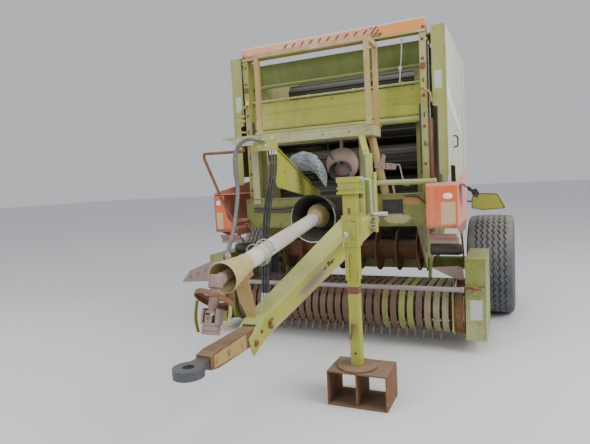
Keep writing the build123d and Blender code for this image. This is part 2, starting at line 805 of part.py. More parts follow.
with BuildPart() as stripper_bands:
    r0, r1 = BAND_RADIUS - BAND_THICK, BAND_RADIUS
    back = REAR_SHEET_Y
    first = -BAND_PITCH * (BAND_COUNT - 1) / 2 - BAND_WIDTH / 2
    for i in range(BAND_COUNT):
        with BuildSketch(Plane.YZ.offset(first + i * BAND_PITCH)):
            with BuildLine():
                Line((back, REEL_Z + r0), (REEL_Y, REEL_Z + r0))
                ThreePointArc((REEL_Y, REEL_Z + r0), (REEL_Y - r0, REEL_Z), (REEL_Y, REEL_Z - r0))
                Line((REEL_Y, REEL_Z - r0), (back, REEL_Z - r0))
                Line((back, REEL_Z - r0), (back, REEL_Z - r1))
                Line((back, REEL_Z - r1), (REEL_Y, REEL_Z - r1))
                ThreePointArc((REEL_Y, REEL_Z - r1), (REEL_Y - r1, REEL_Z), (REEL_Y, REEL_Z + r1))
                Line((REEL_Y, REEL_Z + r1), (back, REEL_Z + r1))
                Line((back, REEL_Z + r1), (back, REEL_Z + r0))
            make_face()
        extrude(amount=BAND_WIDTH)
    block((-850, back, REEL_Z - r1), (850, back + 6, REEL_Z + r1))
keep("stripper_bands", stripper_bands)

with BuildPart() as windguard:
    rod_x(-940, 940, -180, 455, 17)
    for side in (-1, 1):
        x_low = min(side * 866, side * 878)
        block((x_low, -168, 447), (x_low + 12, -60, 463))
keep("windguard", windguard)

# Feed rotor
with BuildPart() as feed_rotor:
    rod_x(-inner + 5, inner - 5, ROTOR_Y, ROTOR_Z, 80)
    rod_x(-WALL_X, WALL_X, ROTOR_Y, ROTOR_Z, 30)
    for i in range(8):
        x = -560 + 160 * i
        rod_x(x, x + 10, ROTOR_Y, ROTOR_Z, ROTOR_RADIUS)
keep("feed_rotor", feed_rotor)

# Hose bracket
with BuildPart() as hose_bracket:
    slab_x(
        -105,
        -95,
        [(HEAD_FRONT_Y, 1092), (HEAD_FRONT_Y, 1180), (-900, 1480), (-930, 1480), (-930, 1400)],
    )
keep("hose_bracket", hose_bracket)

os.makedirs("parts", exist_ok=True)
for name, piece in PIECES.items():
    piece.part.label = name
    export_step(piece.part, f"parts/{name}.step")
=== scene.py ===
"""Looks of the round baler: its finishes, tyres, hoses, ropes, cloth and small fittings.

X runs to the machine's left, Y backwards and Z up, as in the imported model.
"""

import json
import logging
import math
from dataclasses import dataclass
from enum import Enum
from typing import Any, Callable, Dict, List, Optional, Sequence, Tuple, Union

import bmesh
import bpy
import numpy as np
from mathutils import Matrix, Vector


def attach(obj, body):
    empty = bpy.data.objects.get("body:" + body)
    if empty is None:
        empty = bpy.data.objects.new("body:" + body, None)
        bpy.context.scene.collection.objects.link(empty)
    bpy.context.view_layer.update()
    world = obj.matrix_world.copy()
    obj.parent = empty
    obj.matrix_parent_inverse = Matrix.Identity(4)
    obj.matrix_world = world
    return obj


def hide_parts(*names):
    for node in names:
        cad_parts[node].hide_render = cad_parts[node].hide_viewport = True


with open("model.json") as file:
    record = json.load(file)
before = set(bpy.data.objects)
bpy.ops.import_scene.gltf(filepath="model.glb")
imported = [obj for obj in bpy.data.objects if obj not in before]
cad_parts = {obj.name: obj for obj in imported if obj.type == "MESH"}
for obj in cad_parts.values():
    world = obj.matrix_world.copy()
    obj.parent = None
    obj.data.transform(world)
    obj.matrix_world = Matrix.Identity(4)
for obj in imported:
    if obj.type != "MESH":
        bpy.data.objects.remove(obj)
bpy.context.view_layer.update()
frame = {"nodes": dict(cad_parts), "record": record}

LOG = logging.getLogger("baler")
Colour = Tuple[float, float, float]
Point = Tuple[float, float, float]
Outline = Tuple[Tuple[float, float], ...]
Route = Tuple[Point, ...]
Array = np.ndarray


# ---------------------------------------------------------------- shader graph


def _operator(operation: str, reflected: bool = False) -> Callable[["Wire", Any], "Wire"]:
    """Makes a method of Wire that joins two values by a Math node.

    Args:
        operation: the node's operation.
        reflected: whether the other value comes first.

    Returns:
        The method.
    """

    def method(wire: "Wire", other: Any) -> "Wire":
        """Joins the wire and the other value."""
        first, second = (other, wire) if reflected else (wire, other)
        return wire._math(operation, first, second)

    return method


class Wire:
    """One output socket. Arithmetic on wires and numbers adds Math nodes."""

    def __init__(self, graph: "Graph", socket: Any) -> None:
        """Keeps the graph and the socket that the wire starts from."""
        self.graph = graph
        self.socket = socket

    def _math(self, operation: str, first: Any, second: Any = 0.0, clamp: bool = False) -> "Wire":
        """Adds one Math node.

        Args:
            operation: the node's operation.
            first: the first value or wire.
            second: the second value or wire.
            clamp: whether the result is held between 0 and 1.

        Returns:
            The wire of its result.
        """
        settings = {"operation": operation, "use_clamp": clamp}
        return self.graph.add("ShaderNodeMath", settings, {0: first, 1: second})

    __add__, __radd__ = _operator("ADD"), _operator("ADD", True)
    __sub__, __rsub__ = _operator("SUBTRACT"), _operator("SUBTRACT", True)
    __mul__, __rmul__ = _operator("MULTIPLY"), _operator("MULTIPLY", True)
    __truediv__ = _operator("DIVIDE")
    __pow__ = _operator("POWER")

    def held(self) -> "Wire":
        """Holds the value between 0 and 1."""
        return self._math("ADD", self, 0.0, clamp=True)

    def most(self, other: Any) -> "Wire":
        """The larger of two values."""
        return self._math("MAXIMUM", self, other)

    def least(self, other: Any) -> "Wire":
        """The smaller of two values."""
        return self._math("MINIMUM", self, other)

    def sine(self) -> "Wire":
        """Sine of the value in radians."""
        return self._math("SINE", self)

    def part(self) -> "Wire":
        """Fraction of the value above its whole number."""
        return self._math("FRACT", self)

    def size(self) -> "Wire":
        """Value without its sign."""
        return self._math("ABSOLUTE", self)

    def rise(self, low: float, high: float) -> "Wire":
        """Smooth step.

        Args:
            low: the value at which the step starts.
            high: the value at which it ends.

        Returns:
            A wire from 0 to 1.
        """
        settings = {"interpolation_type": "SMOOTHSTEP"}
        return self.graph.add(
            "ShaderNodeMapRange", settings, {"Value": self, "From Min": low, "From Max": high}
        )

    def within(self, low: float, high: float, soft: float) -> "Wire":
        """1 between two values and 0 outside them, with soft ends inside."""
        return (self - low).rise(0.0, soft) * (high - self).rise(0.0, soft)


class Graph:
    """The node tree of one material, which ends in a Principled shader."""

    def __init__(self, name: str) -> None:
        """Makes the material and its shader.

        Args:
            name: the material's name.
        """
        self.material = bpy.data.materials.new(name)
        self.material.use_nodes = True
        self.tree = self.material.node_tree
        self.tree.nodes.clear()
        self.output = self.tree.nodes.new("ShaderNodeOutputMaterial")
        self.shader = self.tree.nodes.new("ShaderNodeBsdfPrincipled")
        self.tree.links.new(self.shader.outputs[0], self.output.inputs[0])
        self.place = self.add("ShaderNodeTexCoord", out="Object")
        self._axes: Optional[Any] = None

    def add(
        self,
        kind: str,
        settings: Optional[Dict[str, Any]] = None,
        values: Optional[Dict[Union[int, str], Any]] = None,
        out: Union[int, str] = 0,
    ) -> Wire:
        """Adds any node.

        Args:
            kind: the node's type.
            settings: its own settings, set first; stops are a ramp's places and colours.
            values: numbers, colours or wires for its inputs, by name or number.
            out: the output that is wanted.

        Returns:
            The wire of that output.
        """
        node = self.tree.nodes.new(kind)
        for key, value in (settings or {}).items():
            if key == "stops":
                ramp = node.color_ramp
                while len(ramp.elements) > len(value):
                    ramp.elements.remove(ramp.elements[-1])
                while len(ramp.elements) < len(value):
                    ramp.elements.new(1.0)
                for element, (place, colour) in zip(ramp.elements, value):
                    element.position = place
                    element.color = (*colour, 1.0)
            else:
                setattr(node, key, value)
        for key, value in (values or {}).items():
            self.feed(node.inputs[key], value)
        return Wire(self, node.outputs[out])

    def feed(self, socket: Any, value: Any) -> None:
        """Links a wire to an input or sets its value."""
        if isinstance(value, Wire):
            self.tree.links.new(value.socket, socket)
        elif isinstance(value, tuple) and socket.type == "RGBA":
            socket.default_value = (*value[:3], 1.0)
        else:
            socket.default_value = value

    def mix(self, first: Any, second: Any, share: Any) -> Wire:
        """Blends two colours.

        Args:
            first: colour or wire where the share is 0.
            second: colour or wire where the share is 1.
            share: number or wire.

        Returns:
            The wire of the blended colour.
        """
        return self.add("ShaderNodeMix", {"data_type": "RGBA"}, {0: share, 6: first, 7: second}, out=2)

    def tint(self, colour: Any, value: Any) -> Wire:
        """Multiplies a colour by a grey value."""
        grey = self.add("ShaderNodeCombineColor", None, {0: value, 1: value, 2: value})
        settings = {"data_type": "RGBA", "blend_type": "MULTIPLY"}
        return self.add("ShaderNodeMix", settings, {0: 1.0, 6: colour, 7: grey}, out=2)

    def noise(
        self, scale: float, detail: float = 4.0, rough: float = 0.55, stretch: Point = (1.0, 1.0, 1.0),
        shift: Point = (0.0, 0.0, 0.0),
    ) -> Wire:
        """Cloudy value over the piece.

        Args:
            scale: cells per metre.
            detail: octaves.
            rough: weight of the fine octaves.
            stretch: factor on each axis.
            shift: offset of the pattern.

        Returns:
            A wire around 0.5.
        """
        place = self.add(
            "ShaderNodeMapping", None, {"Vector": self.place, "Scale": stretch, "Location": shift}
        )
        return self.add(
            "ShaderNodeTexNoise",
            None,
            {"Vector": place, "Scale": scale, "Detail": detail, "Roughness": rough},
        )

    def axis(self, index: int) -> Wire:
        """Object coordinate along X, Y or Z, by number."""
        if self._axes is None:
            self._axes = self.add("ShaderNodeSeparateXYZ", None, {0: self.place}).socket.node
        return Wire(self, self._axes.outputs[index])

    def upward(self) -> Wire:
        """How far the surface faces up, from -1 to 1."""
        normal = self.add("ShaderNodeTexCoord", out="Normal")
        return self.add("ShaderNodeSeparateXYZ", None, {0: normal}, out=2)

    def edges(self, radius: float) -> Wire:
        """Finds edges: the rounded normal differs from the true one there.

        Args:
            radius: reach of the search, in metres.

        Returns:
            A wire that is 0 on flats and rises to 1 at edges.
        """
        soft = self.add("ShaderNodeBevel", {"samples": 3}, {"Radius": radius})
        true = self.add("ShaderNodeNewGeometry", out="True Normal")
        same = self.add("ShaderNodeVectorMath", {"operation": "DOT_PRODUCT"}, {0: soft, 1: true}, out=1)
        return (1.0 - same).rise(0.01, 0.22)

    def relief(self, height: Wire, distance: float, strength: float = 1.0) -> None:
        """Feeds a height through one Bump node into the shader's normal."""
        bump = self.add(
            "ShaderNodeBump", None, {"Height": height, "Distance": distance, "Strength": strength}
        )
        self.feed(self.shader.inputs["Normal"], bump)

    def finish(self, colour: Any, rough: Any, metal: Any = 0.0) -> bpy.types.Material:
        """Feeds the shader's main sockets.

        Args:
            colour: base colour.
            rough: roughness.
            metal: metallic share.

        Returns:
            The finished material.
        """
        self.feed(self.shader.inputs["Base Color"], colour)
        self.feed(self.shader.inputs["Roughness"], rough)
        self.feed(self.shader.inputs["Metallic"], metal)
        return self.material


# ---------------------------------------------------------------- finishes

RUST_DARK: Colour = (0.055, 0.028, 0.018)
RUST_MID: Colour = (0.165, 0.075, 0.036)
RUST_LIGHT: Colour = (0.36, 0.18, 0.085)
DUST: Colour = (0.42, 0.38, 0.30)
GRIME: Colour = (0.11, 0.08, 0.045)
BARE: Colour = (0.5, 0.49, 0.4)


@dataclass(frozen=True)
class Enamel:
    """Farm enamel on sheet steel: faded, streaked, chipped to rust and dusty on top.

    fresh and faded are the two paint colours; fade, rust and dust are shares of the surface;
    edge is how far edges are worn; grime is the dark dirt low down.
    """

    name: str
    fresh: Colour
    faded: Colour
    fade: float = 0.5
    rust: float = 0.2
    dust: float = 0.4
    edge: float = 0.5
    rough: float = 0.5
    grime: float = 0.35
    seed: float = 0.0

    def coat(self, g: Graph, fade: Wire, grain: Wire) -> Wire:
        """Paint colour before dirt and rust.

        Args:
            g: the graph.
            fade: how faded the paint is, from 0 to 1.
            grain: fine noise; not used here.

        Returns:
            The wire of the colour.
        """
        return g.mix(self.fresh, self.faded, fade)

    def make(self) -> bpy.types.Material:
        """Builds the material.

        Returns:
            Paint faded by clouds and vertical streaks, under rust from a thresholded noise and worn
            edges, under dust on faces that look up.
        """
        g = Graph(self.name)
        shift = (self.seed, self.seed * 0.7, self.seed * 1.3)
        broad = g.noise(1.6, 3.0, 0.5, shift=shift)
        patch = g.noise(6.5, 7.0, 0.68, shift=shift)
        grain = g.noise(48.0, 5.0, 0.6, shift=shift)
        speck = g.noise(190.0, 2.0, 0.5)
        streak = g.noise(14.0, 4.0, 0.6, stretch=(1.0, 1.0, 0.09), shift=shift)
        fade = (broad * 0.5 + streak * 0.35 + grain * 0.15).rise(
            0.62 - 0.3 * self.fade, 0.76 - 0.24 * self.fade
        )
        paint = self.coat(g, fade, grain)
        paint = g.tint(paint, 0.78 + grain * 0.18 + patch * 0.26)
        low = (1.0 - g.axis(2) / 1.3).held()
        dirt = ((patch * 0.5 + streak * 0.5).rise(0.36, 0.66) * (0.25 + low * 0.75) * self.grime).held()
        paint = g.mix(paint, GRIME, dirt)
        worn = g.edges(0.006) * self.edge
        level = patch * 0.66 + streak * 0.18 + grain * 0.16
        line = 0.675 - 0.22 * self.rust
        rust = (level + worn * 0.22 + low * 0.035).rise(line, line + 0.06)
        rust_colour = g.add(
            "ShaderNodeValToRGB",
            {"stops": [(0.34, RUST_DARK), (0.5, RUST_MID), (0.68, RUST_LIGHT)]},
            {0: grain * 0.6 + speck * 0.4},
        )
        colour = g.mix(paint, rust_colour, rust)
        bare = (worn * (0.4 + grain) * (1.0 - rust)).rise(0.35, 0.8) * 0.4
        colour = g.mix(colour, BARE, bare)
        settle = (g.upward().rise(0.35, 0.95) * (0.45 + patch) * self.dust).held()
        film = settle.most((speck * 0.5 + grain * 0.5).rise(0.55, 0.8) * self.dust * 0.2)
        colour = g.mix(colour, DUST, film)
        g.relief(grain * 0.5 + rust * (grain + speck) * 0.9 - rust * 0.4, 0.0012, 0.6)
        return g.finish(colour, (self.rough + rust * 0.35 + film * 0.4 + grain * 0.1).least(0.95))


@dataclass(frozen=True)
class CoverPaint(Enamel):
    """Cover sheet whose outer face is painted far paler than its front edge, as a painted highlight of the
    light on that face.
    """

    # pale colour painted on the outer face as a painted highlight
    painted_highlight: Colour = (0.63, 0.67, 0.54)

    def coat(self, g: Graph, fade: Wire, grain: Wire) -> Wire:
        """Mixes the painted highlight colour in where the sheet is farthest from the middle, on its outer
        face.
        """
        # side marks the outer face, which gets the painted highlight
        side = g.axis(0).size().rise(0.8405, 0.8425)
        return g.mix(g.mix(self.fresh, self.faded, fade), self.painted_highlight, side * (0.85 + fade * 0.15))


@dataclass(frozen=True)
class BoardPaint(Enamel):
    """Top beam: cream edge, salmon strip with short slanted strokes, two blank panels, brown below."""

    cream: Colour = (0.74, 0.71, 0.58)
    stroke: Colour = (0.20, 0.028, 0.018)
    panel: Colour = (0.78, 0.33, 0.07)
    salmon: Colour = (0.80, 0.30, 0.17)
    band_z: float = 2.2405
    pitch: float = 0.070
    wide_pitch: float = 0.036
    slant: float = 0.9

    def coat(self, g: Graph, fade: Wire, grain: Wire) -> Wire:
        """Bands by height; strokes by the fraction of x, leaning with z, over the pitch."""
        x, z = g.axis(0), g.axis(2)
        upper = (z + (grain - 0.5) * 0.006).rise(self.band_z - 0.001, self.band_z + 0.001)
        colour = g.mix(
            g.mix(self.fresh, self.faded, fade), g.mix(self.salmon, (0.78, 0.44, 0.30), fade), upper
        )
        leaning = x - (z - 2.25) * self.slant
        lean = (leaning / self.pitch).part()
        small = (0.30 - lean).rise(0.0, 0.05) * z.rise(2.244, 2.246) * (2.276 - z).rise(0.0, 0.003)
        small = small * x.within(-0.36, 0.33, 0.01)
        wide = ((leaning / self.wide_pitch).part() - 0.45).rise(0.0, 0.06)
        wide = wide * x.within(0.335, 0.402, 0.004)
        colour = g.mix(colour, self.stroke, (small.most(wide) * (0.7 + grain * 0.5)).held())
        right = x.within(0.408, 0.702, 0.003) * z.rise(2.206, 2.209)
        colour = g.mix(colour, self.panel, right)
        left = x.within(-0.685, -0.43, 0.003) * z.rise(2.236, 2.238)
        colour = g.mix(colour, (0.80, 0.36, 0.22), left)
        return g.mix(colour, self.cream, z.rise(2.286, 2.2885))


@dataclass(frozen=True)
class BeamPaint(Enamel):
    """Drawbar: pale top edge as a painted highlight, yellow side, pinkish lower edge, one dark purple-grey
    patch of rust and the jack's painted shadow.
    """

    # pale is a painted highlight along the beam's top edge
    pale: Colour = (0.43, 0.46, 0.14)
    pink: Colour = (0.50, 0.33, 0.24)
    # patch is rust darkened by the jack's painted shadow on the beam's side
    patch: Colour = (0.29, 0.19, 0.20)
    front: Tuple[float, float] = (-1.275, 0.530)
    slope: float = 0.59

    def coat(self, g: Graph, fade: Wire, grain: Wire) -> Wire:
        """Bands by the depth under the beam's sloping top edge; the patch is an ellipse on its side."""
        y, z = g.axis(1), g.axis(2)
        depth = self.front[1] + (y - self.front[0]) * self.slope - z + (grain - 0.5) * 0.02
        colour = g.mix(self.fresh, self.faded, fade)
        # pale band along the top edge: painted highlight
        colour = g.mix(colour, self.pale, (0.022 - depth).rise(0.0, 0.02))
        colour = g.mix(colour, self.pink, (depth - 0.098).rise(0.0, 0.02) * y.rise(-1.3, -1.2) * 0.8)
        # ellipse on the beam's side beside the jack: rust under the jack's painted shadow
        away = ((y + 0.96) / 0.13) ** 2.0 + ((depth - 0.066) / 0.032) ** 2.0
        return g.mix(colour, self.patch, (1.1 - away + (grain - 0.5) * 1.8).rise(0.0, 0.9) * 0.85)


@dataclass(frozen=True)
class BandPaint(Enamel):
    """Stripper bands, each in a colour of its own, worn to brown on the machine's right."""

    first: float = 0.24
    pitch: float = 0.060
    older: Colour = (0.15, 0.085, 0.05)
    colours: Tuple[Colour, ...] = (
        (0.16, 0.095, 0.065),
        (0.20, 0.12, 0.08),
        (0.36, 0.40, 0.12),
        (0.22, 0.13, 0.08),
        (0.40, 0.44, 0.13),
        (0.38, 0.42, 0.13),
        (0.20, 0.13, 0.12),
        (0.42, 0.34, 0.22),
        (0.42, 0.45, 0.24),
        (0.46, 0.42, 0.24),
    )

    def coat(self, g: Graph, fade: Wire, grain: Wire) -> Wire:
        """A stepped ramp over the last ten bands; one dark brown before them."""
        share = ((g.axis(0) - self.first) / (self.pitch * len(self.colours))).held()
        stops = [(i / len(self.colours), c) for i, c in enumerate(self.colours)]
        ramp = g.add("ShaderNodeValToRGB", {"stops": stops}, {0: share})
        ramp.socket.node.color_ramp.interpolation = "CONSTANT"
        worn = (g.noise(9.0, 5.0) - 0.42).rise(0.0, 0.3) * 0.5
        return g.mix(g.tint(ramp, 0.8 + fade * 0.4), self.older, worn)


@dataclass(frozen=True)
class HeadPaint(Enamel):
    """Head beam: olive, with an orange patch beside the window and a bare yellowish one under it."""

    bare: Colour = (0.56, 0.52, 0.26)
    orange: Colour = (0.55, 0.28, 0.07)

    def coat(self, g: Graph, fade: Wire, grain: Wire) -> Wire:
        """Both patches are ellipses in x and z on the front plate."""
        x, z = g.axis(0), g.axis(2)
        colour = g.mix(self.fresh, self.faded, fade)
        away = ((x - 0.50) / 0.10) ** 2.0 + ((z - 0.925) / 0.035) ** 2.0
        colour = g.mix(colour, self.bare, (1.1 - away + (grain - 0.5) * 1.2).rise(0.0, 0.4) * 0.85)
        away = ((x - 0.60) / 0.08) ** 2.0 + ((z - 1.05) / 0.03) ** 2.0
        return g.mix(colour, self.orange, (1.1 - away + (grain - 0.5) * 1.4).rise(0.0, 0.4) * 0.75)


@dataclass(frozen=True)
class GuardPaint(Enamel):
    """Corner guards: red front that turns orange downwards, and a side faded to pink."""

    pink: Colour = (0.80, 0.32, 0.27)
    low: Colour = (0.74, 0.16, 0.05)
    face_y: float = -0.222

    def coat(self, g: Graph, fade: Wire, grain: Wire) -> Wire:
        """Height turns the front orange; the side plate lies behind its front edge, at face_y."""
        y, z = g.axis(1), g.axis(2)
        colour = g.mix(self.low, self.fresh, z.rise(0.9, 1.12))
        colour = g.mix(colour, self.faded, fade * 0.6)
        colour = g.mix(
            colour, self.pink, (y - self.face_y).rise(0.0, 0.004).most((z - 1.14).rise(0.0, 0.012))
        )
        return g.mix(colour, RUST_MID, (0.895 - z + (grain - 0.5) * 0.05).rise(0.0, 0.03) * 0.7)


@dataclass(frozen=True)
class Steel:
    """Bare steel or iron with rust over it.

    base is the clean colour; rust is the share of it that has rusted; metal is how metallic it looks.
    """

    name: str
    base: Colour
    rust: float = 0.6
    metal: float = 0.4
    rough: float = 0.5
    scale: float = 9.0
    dust: float = 0.25
    light: Colour = RUST_LIGHT
    mid: Colour = RUST_MID

    def make(self) -> bpy.types.Material:
        """Builds the material.

        Returns:
            Steel with rust clouds of three browns and a film of dust.
        """
        g = Graph(self.name)
        patch = g.noise(self.scale, 8.0, 0.7)
        grain = g.noise(70.0, 5.0, 0.62)
        speck = g.noise(260.0, 2.0, 0.5)
        rust = (patch * 0.65 + grain * 0.35).rise(0.72 - 0.45 * self.rust, 0.86 - 0.45 * self.rust)
        rust_colour = g.add(
            "ShaderNodeValToRGB",
            {"stops": [(0.32, RUST_DARK), (0.48, self.mid), (0.7, self.light)]},
            {0: patch * 0.35 + grain * 0.4 + speck * 0.25},
        )
        colour = g.mix(g.tint(self.base, 0.7 + grain * 0.6), rust_colour, rust)
        film = (g.upward().rise(0.3, 0.9) * (0.4 + patch) * self.dust).held()
        colour = g.mix(colour, DUST, film)
        g.relief(grain * 0.6 + speck * 0.3 + rust * patch * 0.6, 0.0014, 0.8)
        return g.finish(colour, (self.rough + rust * 0.4 + film * 0.3).least(0.95), (1.0 - rust) * self.metal)


@dataclass(frozen=True)
class Moulded:
    """Plastic or rubber: one colour, mottled, scuffed and dusty."""

    name: str
    base: Colour
    scuff: Colour
    rough: float = 0.55
    dust: float = 0.35
    scale: float = 12.0

    def make(self) -> bpy.types.Material:
        """Builds the material.

        Returns:
            The base colour with scuffs from a stretched noise and dust on top.
        """
        g = Graph(self.name)
        patch = g.noise(self.scale, 6.0, 0.65)
        grain = g.noise(90.0, 4.0, 0.6)
        scratch = g.noise(60.0, 3.0, 0.6, stretch=(0.15, 1.0, 1.0))
        scuff = (patch * 0.5 + scratch * 0.5).rise(0.46, 0.7)
        colour = g.mix(g.tint(self.base, 0.75 + grain * 0.5), self.scuff, scuff * 0.7)
        settle = (g.upward().rise(0.0, 0.9) * (0.35 + patch) * self.dust).held()
        film = settle.most(grain.rise(0.5, 0.72) * self.dust * 0.5)
        colour = g.mix(colour, DUST, film)
        g.relief(grain * 0.7 + scuff * 0.3, 0.0007, 0.6)
        return g.finish(colour, (self.rough + film * 0.35 + scuff * 0.1).least(0.95))


@dataclass(frozen=True)
class Cloth:
    """Coarse woven sack or twine: threads both ways, soiled in clouds."""

    name: str
    base: Colour
    soil: Colour
    threads: float = 900.0
    rough: float = 0.85

    def make(self) -> bpy.types.Material:
        """Builds the material.

        Returns:
            Threads as the product of two sines over the piece, under clouds of soil.
        """
        g = Graph(self.name)
        warp = (g.axis(0) * self.threads + g.axis(1) * self.threads * 0.3).sine()
        weft = (g.axis(2) * self.threads).sine()
        cloud = g.noise(16.0, 6.0, 0.65)
        weave = warp * weft * 0.5 + 0.5
        colour = g.mix(g.tint(self.base, 0.8 + weave * 0.25), self.soil, (cloud - 0.38).rise(0.0, 0.3) * 0.75)
        g.relief(weave, 0.0006, 0.5)
        return g.finish(colour, self.rough)


class Coat(Enum):
    """Every finish of the machine."""

    GREEN = Enamel("green_enamel", (0.235, 0.265, 0.045), (0.42, 0.44, 0.20), 0.5, 0.2, 0.35)
    BRIGHT = Enamel("yellow_green_enamel", (0.38, 0.39, 0.055), (0.46, 0.45, 0.14), 0.4, 0.16, 0.15, seed=3.0)
    PALE = Enamel("pale_green_enamel", (0.35, 0.38, 0.12), (0.47, 0.49, 0.26), 0.5, 0.2, 0.15, seed=5.0)
    DECK = Enamel("deck_green_enamel", (0.36, 0.37, 0.15), (0.46, 0.46, 0.26), 0.6, 0.45, 0.2, seed=12.0)
    # the covers' outer faces carry a painted highlight colour
    COVER = CoverPaint(
        "cover_enamel", (0.33, 0.34, 0.10), (0.40, 0.40, 0.17), 0.5, 0.0, 0.2, 0.3, 0.42, 0.15, seed=7.0
    )
    POST = Enamel("post_green_enamel", (0.29, 0.29, 0.07), (0.42, 0.40, 0.20), 0.6, 0.34, 0.3, seed=2.0)
    HOOD = Enamel(
        "dark_green_enamel", (0.10, 0.135, 0.010), (0.16, 0.19, 0.030), 0.5, 0.04, 0.2, 0.2, 0.5, 0.3,
        seed=9.0,
    )
    HEAD = HeadPaint("head_enamel", (0.21, 0.22, 0.055), (0.33, 0.34, 0.13), 0.5, 0.26, 0.35, seed=10.0)
    BOARD = BoardPaint("top_beam_enamel", (0.36, 0.22, 0.07), (0.44, 0.33, 0.16), 0.5, 0.1, 0.2, seed=4.0)
    BEAM = BeamPaint("drawbar_enamel", (0.40, 0.41, 0.07), (0.48, 0.47, 0.15), 0.4, 0.12, 0.1, seed=13.0)
    BAND = BandPaint("band_enamel", (0.36, 0.40, 0.12), (0.4, 0.4, 0.2), 0.5, 0.12, 0.15, seed=14.0)
    RED = GuardPaint("guard_enamel", (0.78, 0.13, 0.03), (0.80, 0.30, 0.16), 0.3, 0.12, 0.15, seed=6.0)
    OCHRE = Enamel("ochre_enamel", (0.42, 0.29, 0.10), (0.56, 0.46, 0.27), 0.5, 0.35, 0.25, seed=8.0)
    RIM = Enamel("rim_enamel", (0.50, 0.47, 0.38), (0.62, 0.60, 0.52), 0.5, 0.2, 0.4, seed=1.0)
    PRIMER = Enamel("cylinder_primer", (0.20, 0.07, 0.045), (0.33, 0.17, 0.13), 0.5, 0.3, 0.3, seed=11.0)
    RUST = Steel("rusty_steel", (0.22, 0.17, 0.14), 0.85, 0.2, 0.6)
    PINK = Steel(
        "pinkish_rusty_steel", (0.31, 0.23, 0.20), 0.55, 0.2, 0.55, light=(0.50, 0.33, 0.27),
        mid=(0.30, 0.19, 0.15),
    )
    MAUVE = Steel(
        "mauve_steel", (0.33, 0.27, 0.28), 0.4, 0.35, 0.5, light=(0.36, 0.26, 0.23), mid=(0.22, 0.14, 0.12)
    )
    DARK = Steel(
        "dark_steel", (0.075, 0.068, 0.06), 0.35, 0.5, 0.45, light=(0.16, 0.09, 0.05), mid=(0.09, 0.05, 0.03)
    )
    IRON = Steel(
        "cast_iron", (0.10, 0.105, 0.12), 0.25, 0.6, 0.42, light=(0.2, 0.12, 0.08), mid=(0.11, 0.07, 0.05)
    )
    ZINC = Steel("zinc_plate", (0.52, 0.53, 0.52), 0.25, 0.75, 0.35)
    BRASS = Steel("old_brass", (0.52, 0.36, 0.12), 0.15, 0.8, 0.35)
    CHROME = Steel("bright_rod", (0.55, 0.55, 0.53), 0.1, 0.95, 0.22, dust=0.1)
    TYRE = Moulded("tyre_rubber", (0.095, 0.102, 0.118), (0.20, 0.21, 0.225), 0.75, 0.5)
    BLACK = Moulded("black_plastic", (0.022, 0.022, 0.023), (0.07, 0.07, 0.07), 0.45, 0.2)
    HOSE = Moulded("hose_rubber", (0.030, 0.031, 0.033), (0.16, 0.16, 0.16), 0.28, 0.15, 30.0)
    GREY_HOSE = Moulded("grey_hose_rubber", (0.10, 0.10, 0.10), (0.24, 0.24, 0.23), 0.4, 0.2, 30.0)
    BLUE = Moulded("dark_blue_plastic", (0.03, 0.06, 0.11), (0.08, 0.12, 0.17), 0.45, 0.25)
    WHITE = Moulded("pale_plastic", (0.66, 0.60, 0.56), (0.80, 0.76, 0.72), 0.45, 0.25)
    YELLOW = Moulded("aged_yellow_plastic", (0.55, 0.42, 0.17), (0.66, 0.56, 0.36), 0.5, 0.25)
    LABEL = Moulded("blank_label", (0.50, 0.52, 0.47), (0.62, 0.63, 0.58), 0.4, 0.1, 40.0)
    TAN_LABEL = Moulded("blank_tan_label", (0.56, 0.42, 0.24), (0.66, 0.53, 0.34), 0.4, 0.1, 40.0)
    LENS = Moulded("white_reflector", (0.85, 0.84, 0.80), (0.92, 0.92, 0.90), 0.15, 0.05)
    STRIPE = Moulded("white_stripe", (0.88, 0.89, 0.87), (0.80, 0.82, 0.79), 0.3, 0.05, 25.0)
    SACK = Cloth("sack_cloth", (0.24, 0.27, 0.31), (0.09, 0.10, 0.10))
    LACE = Cloth("white_lace", (0.75, 0.75, 0.72), (0.45, 0.44, 0.40), 2600.0)
    TWINE = Cloth("baler_twine", (0.50, 0.54, 0.40), (0.30, 0.29, 0.20), 2600.0)
    CORD = Cloth("white_cord", (0.68, 0.68, 0.64), (0.40, 0.38, 0.32), 2600.0)
    NET = Cloth("black_net", (0.045, 0.042, 0.042), (0.10, 0.09, 0.085), 700.0, 0.7)
    STRAW = Cloth("straw", (0.55, 0.44, 0.22), (0.36, 0.27, 0.13), 1500.0)


class Slot(Enum):
    """The record's material slots."""

    GREEN = "green_paint"
    HOOD = "dark_green_paint"
    ORANGE = "orange_paint"
    OCHRE = "ochre_paint"
    RUST = "rusty_steel"
    DARK = "dark_steel"
    PRIMER = "cylinder_paint"
    ROD = "bright_rod"
    TYRE = "tyre_rubber"
    RIM = "rim_paint"
    BLACK = "black_plastic"
    WHITE = "white_plastic"
    YELLOW = "yellow_plastic"


SLOT_COAT: Dict[Slot, Coat] = {
    Slot.GREEN: Coat.GREEN,
    Slot.HOOD: Coat.HOOD,
    Slot.ORANGE: Coat.BOARD,
    Slot.OCHRE: Coat.OCHRE,
    Slot.RUST: Coat.RUST,
    Slot.DARK: Coat.DARK,
    Slot.PRIMER: Coat.PRIMER,
    Slot.ROD: Coat.CHROME,
    Slot.TYRE: Coat.TYRE,
    Slot.RIM: Coat.RIM,
    Slot.BLACK: Coat.BLACK,
    Slot.WHITE: Coat.WHITE,
    Slot.YELLOW: Coat.YELLOW,
}

